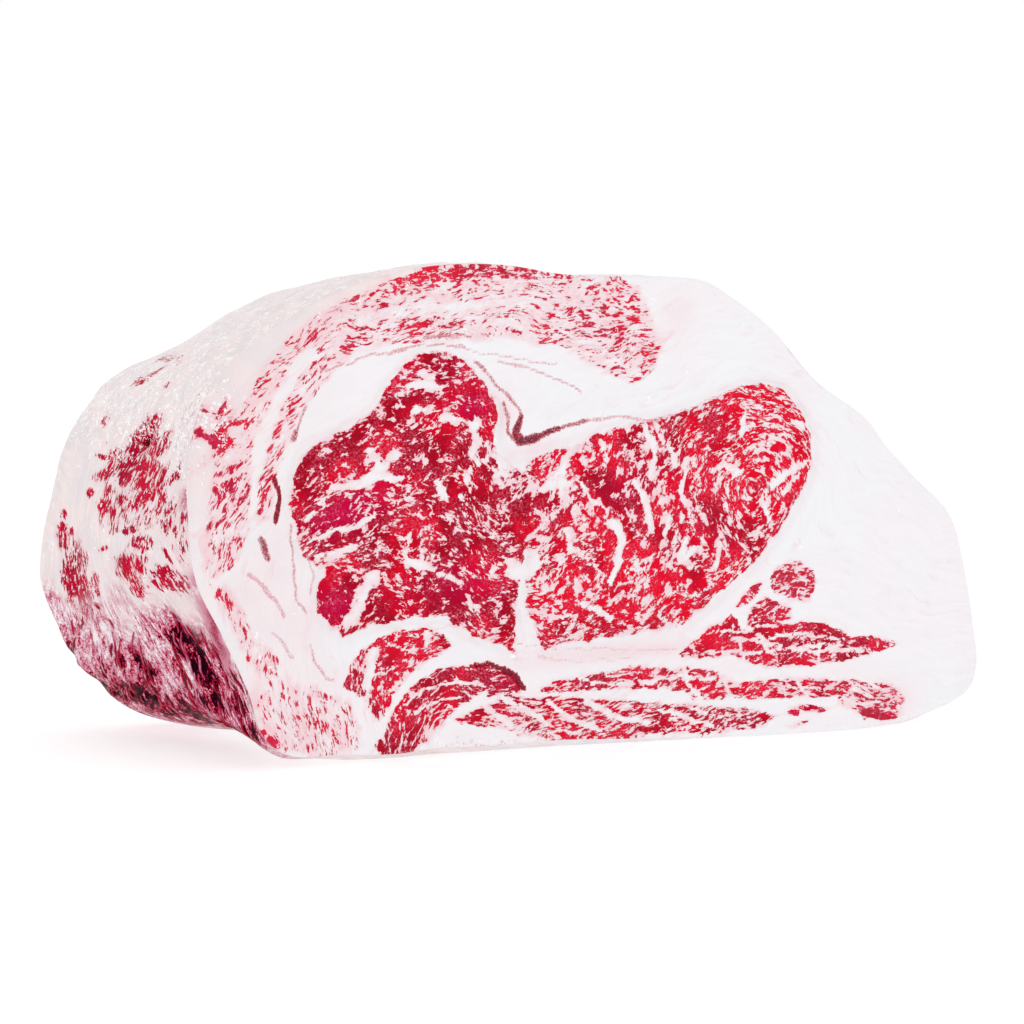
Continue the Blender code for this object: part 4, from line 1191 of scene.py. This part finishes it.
def newTree(name, inputs):
    tree = bpy.data.node_groups.new(name, "GeometryNodeTree")
    tree.interface.new_socket("Geometry", in_out="INPUT", socket_type="NodeSocketGeometry")
    tree.interface.new_socket("Geometry", in_out="OUTPUT", socket_type="NodeSocketGeometry")
    for kind, labels in inputs.items():
        for label in labels.split():
            tree.interface.new_socket(label, in_out="INPUT", socket_type="NodeSocket" + kind)
    return tree, put(tree, "NodeGroupInput").outputs


def randomOf(tree, low, high, seed):
    return put(tree, "FunctionNodeRandomValue", {2: low, 3: high, "Seed": seed}).outputs[1]


def named(tree, label, kind="FLOAT"):
    return put(tree, "GeometryNodeInputNamedAttribute", {"Name": label},
               data_type=kind).outputs[0]


# points where this field of the surface is high
def scatter(tree, given, label):
    density = sums(tree, "MULTIPLY", named(tree, label), given["Density"])
    return put(tree, "GeometryNodeDistributePointsOnFaces", {
        "Mesh": given["Geometry"], "Density": density, "Seed": given["Seed"]}).outputs


# a copy at each point with a tone of its own, made real
def placeCopies(tree, points, shape, turned, scale, tone):
    placed = put(tree, "GeometryNodeInstanceOnPoints", {
        "Points": points, "Instance": shape, "Rotation": turned, "Scale": scale}).outputs[0]
    placed = put(tree, "GeometryNodeStoreNamedAttribute", {
        "Geometry": placed, "Name": "strandTone", "Value": tone},
        data_type="FLOAT", domain="INSTANCE").outputs[0]
    return put(tree, "GeometryNodeRealizeInstances", {"Geometry": placed}).outputs[0]


def moveTo(tree, geometry, place):
    return put(tree, "GeometryNodeSetPosition",
               {"Geometry": geometry, "Position": place}).outputs[0]


# every point shifted by noise
def shake(tree, geometry, scale, amount):
    position = put(tree, "GeometryNodeInputPosition").outputs[0]
    shift = put(tree, "ShaderNodeTexNoise", {"Vector": position, "Scale": scale, "Detail": 2.0})
    shift = vectorSum(tree, "SUBTRACT", shift.outputs["Color"], (0.5, 0.5, 0.5))
    shift = vectorSum(tree, "SCALE", shift, amount)
    return moveTo(tree, geometry, vectorSum(tree, "ADD", position, shift))


def endTree(tree, geometry, given):
    geometry = put(tree, "GeometryNodeSetShadeSmooth", {"Geometry": geometry}).outputs[0]
    geometry = put(tree, "GeometryNodeRealizeInstances", {"Geometry": geometry}).outputs[0]
    geometry = put(tree, "GeometryNodeSetMaterial",
                   {"Geometry": geometry, "Material": given["Material"]}).outputs[0]
    put(tree, "NodeGroupOutput", {"Geometry": geometry})
    return tree


# strands start where fibreShare is high, run along fibreRun and follow the surface
def strandTree():
    tree, given = newTree("tornStrands", {
        "Float": "Density Shortest Longest Thinnest Thickest Lift Waver Darkest Palest",
        "Int": "Steps Seed", "Material": "Material"})
    straight = put(tree, "GeometryNodeCurvePrimitiveLine",
                   {"Start": (0, 0, -0.5), "End": (0, 0, 0.5)}).outputs[0]
    straight = put(tree, "GeometryNodeResampleCurve",
                   {"Curve": straight, "Count": given["Steps"]}).outputs[0]
    run = named(tree, "fibreRun", "FLOAT_VECTOR")
    turned = put(tree, "FunctionNodeAlignRotationToVector", {"Vector": run}, axis="Z").outputs[0]
    size = randomOf(tree, given["Shortest"], given["Longest"], given["Seed"])
    lines = placeCopies(tree, scatter(tree, given, "fibreShare")["Points"], straight, turned,
                        size, randomOf(tree, given["Darkest"], given["Palest"], 3))
    lines = shake(tree, lines, 90.0, given["Waver"])
    # lay each line on the surface, its middle raised and its ends sunk
    nearest = put(tree, "GeometryNodeProximity", {"Geometry": given["Geometry"]})
    upward = put(tree, "GeometryNodeSampleNearestSurface", {
        "Mesh": given["Geometry"], "Value": put(tree, "GeometryNodeInputNormal").outputs[0]},
        data_type="FLOAT_VECTOR").outputs[0]
    along = put(tree, "GeometryNodeSplineParameter").outputs["Factor"]
    arch = sums(tree, "SINE", sums(tree, "MULTIPLY", along, math.pi))
    height = sums(tree, "MULTIPLY", given["Lift"], sums(tree, "SUBTRACT", arch, 0.55))
    laid = vectorSum(tree, "ADD", nearest.outputs[0], vectorSum(tree, "SCALE", upward, height))
    lines = moveTo(tree, lines, laid)
    # thick ones are dark, thin ones pale
    thick = rangeOf(tree, named(tree, "strandTone"), 0.0, 1.0, given["Thickest"],
                    given["Thinnest"], smooth=False)
    thick = sums(tree, "MULTIPLY", thick, sums(tree, "POWER", arch, 0.6))
    thick = sums(tree, "MULTIPLY_ADD", thick, 0.5, 0.06 * mm)
    lines = put(tree, "GeometryNodeSetCurveRadius", {"Curve": lines, "Radius": thick}).outputs[0]
    section = put(tree, "GeometryNodeCurvePrimitiveCircle",
                  {"Resolution": 6, "Radius": 1.0}).outputs[0]
    tubes = put(tree, "GeometryNodeCurveToMesh", {
        "Curve": lines, "Profile Curve": section, "Fill Caps": True,
        "Scale": put(tree, "GeometryNodeInputRadius").outputs[0]})
    return endTree(tree, tubes.outputs[0], given)


# uneven flattened lumps where crumbShare is high, half sunk into the surface
def crumbTree():
    tree, given = newTree("fatCrumbs", {
        "Float": "Density Smallest Largest Flat Uneven Darkest Palest", "Int": "Seed",
        "Material": "Material"})
    spread = scatter(tree, given, "crumbShare")
    ball = put(tree, "GeometryNodeMeshIcoSphere", {"Radius": 1.0, "Subdivisions": 2}).outputs[0]
    size = randomOf(tree, given["Smallest"], given["Largest"], given["Seed"])
    size = sums(tree, "MULTIPLY", size, randomOf(tree, 0.5, 1.0, 11))
    wide = sums(tree, "MULTIPLY", size, randomOf(tree, 0.8, 1.6, 12))
    low = sums(tree, "MULTIPLY", size, given["Flat"])
    scale = put(tree, "ShaderNodeCombineXYZ", {0: wide, 1: size, 2: low}).outputs[0]
    spin = put(tree, "FunctionNodeAxisAngleToRotation", {
        "Axis": (0, 0, 1), "Angle": randomOf(tree, 0.0, 2 * math.pi, 13)}).outputs[0]
    turned = put(tree, "FunctionNodeRotateRotation",
                 {"Rotation": spread["Rotation"], "Rotate By": spin},
                 rotation_space="LOCAL").outputs[0]
    lumps = placeCopies(tree, spread["Points"], ball, turned, scale,
                        randomOf(tree, given["Darkest"], given["Palest"], 14))
    return endTree(tree, shake(tree, lumps, 900.0, given["Uneven"]), given)


# what a tree grows on a piece, as a plain mesh of its own
def grow(name, host, tree, values):
    carrier = bpy.data.objects.new(name + "_carrier", host.data.copy())
    bpy.context.scene.collection.objects.link(carrier)
    modifier = carrier.modifiers.new("grow", "NODES")
    modifier.node_group = tree
    for item in tree.interface.items_tree:
        if item.in_out == "INPUT" and item.name in values:
            modifier[item.identifier] = values[item.name]
    evaluated = carrier.evaluated_get(bpy.context.evaluated_depsgraph_get())
    mesh = bpy.data.meshes.new_from_object(evaluated)
    bpy.data.objects.remove(carrier)
    labels = [item.name for item in mesh.attributes if not item.is_internal
              and not item.is_required and item.name != "strandTone"]
    for label in labels:
        mesh.attributes.remove(mesh.attributes[label])
    piece = bpy.data.objects.new(name, mesh)
    bpy.context.scene.collection.objects.link(piece)
    print(name, "grown with", len(mesh.polygons), "faces")
    return piece


def wetMaterial(name):
    material, tree, shader = newMaterial(name, {"Roughness": wetLook["roughness"],
                                                "Specular IOR Level": wetLook["specular"]})
    mottle = sums(tree, "SUBTRACT", plainNoise(tree, placeIn(tree), 2.5, 3.0), 0.5)
    tone = sums(tree, "MULTIPLY_ADD", mottle, 0.7, field(tree, "strandTone"))
    tree.links.new(rampOf(tree, tone, wetLook["tones"]), shader.inputs["Base Color"])
    return material


wetMeat = wetMaterial("wetStrands")
ownPiece(grow("ribeye_torn_fibres", outerSkin, strandTree(), {
    "Density": strands["density"] / mm ** 2, "Shortest": strands["length"][0] * mm,
    "Longest": strands["length"][1] * mm, "Thinnest": strands["thickness"][0] * mm,
    "Thickest": strands["thickness"][1] * mm, "Lift": strands["lift"] * mm,
    "Waver": strands["waver"] * mm, "Steps": strands["steps"], "Seed": strands["seed"],
    "Darkest": strands["tones"][0], "Palest": strands["tones"][1], "Material": wetMeat}),
    wetMeat)
crumbGrowth = crumbTree()
for label, host in (("ribeye_flank_crumbs", outerSkin), ("ribeye_rim_crumbs", frontCut)):
    ownPiece(grow(label, host, crumbGrowth, {
        "Density": crumbs["density"] / mm ** 2, "Smallest": crumbs["size"][0] * mm,
        "Largest": crumbs["size"][1] * mm, "Flat": crumbs["flat"],
        "Uneven": crumbs["uneven"] * mm, "Seed": crumbs["seed"],
        "Darkest": crumbs["tones"][0], "Palest": crumbs["tones"][1], "Material": wetMeat}),
        wetMeat)


# plain studio: pale floor, bright soft surroundings, one large soft key
studio = {
    "floorHalf": 6.0,
    "floorColour": (180, 180, 180),
    "floorGlow": 0.63,       # keeps the shadow on the floor pale
    "worldStrength": 1.0,
    "keySize": 0.7,
    "keyPower": 1.5,
    "keyPlace": (0.9, -1.3, 1.5),
}
view = {
    "target": (152.1, 65.0, 82.4),      # in mm on the block
    "around": 25,
    "up": 4.5,
    "away": 1.3,
    "lens": 119.7,
}


def buildStudio():
    mesh = bpy.data.meshes.new("floor")
    half = studio["floorHalf"]
    mesh.from_pydata([(-half, -half, 0), (half, -half, 0), (half, half, 0), (-half, half, 0)],
                     [], [(0, 1, 2, 3)])
    floor = bpy.data.objects.new("floor", mesh)
    floor.location = (0, 0, lowCorner[2] - 0.0002)
    bpy.context.scene.collection.objects.link(floor)
    mesh.materials.append(newMaterial("paleFloor", {
        "Base Color": fromScreen(*studio["floorColour"]), "Emission Color": (1, 1, 1, 1),
        "Emission Strength": studio["floorGlow"], "Roughness": 0.9,
        "Specular IOR Level": 0.1})[0])

    world = bpy.data.worlds.new("studio")
    world.use_nodes = True
    world.node_tree.nodes["Background"].inputs[0].default_value = (1, 1, 1, 1)
    world.node_tree.nodes["Background"].inputs[1].default_value = studio["worldStrength"]
    bpy.context.scene.world = world

    lamp = bpy.data.lights.new("key", "AREA")
    lamp.size = studio["keySize"]
    lamp.energy = studio["keyPower"]
    key = bpy.data.objects.new("key", lamp)
    key.location = studio["keyPlace"]
    key.rotation_euler = (Vector((0, 0, 0.08)) - key.location).to_track_quat("-Z", "Y").to_euler()
    bpy.context.scene.collection.objects.link(key)


def placeCamera():
    target = Vector(toWorld([view["target"]])[0].tolist())
    around, up = math.radians(view["around"]), math.radians(view["up"])
    forward = Vector((math.sin(around) * math.cos(up), math.cos(around) * math.cos(up),
                      -math.sin(up)))
    lens = bpy.data.cameras.new("view")
    lens.lens = view["lens"]
    lens.sensor_width = 36.0
    camera = bpy.data.objects.new("view", lens)
    camera.location = target - forward * view["away"]
    camera.rotation_euler = forward.to_track_quat("-Z", "Y").to_euler()
    bpy.context.scene.collection.objects.link(camera)
    bpy.context.scene.camera = camera


buildStudio()
placeCamera()
bpy.context.scene.view_settings.view_transform = "Standard"
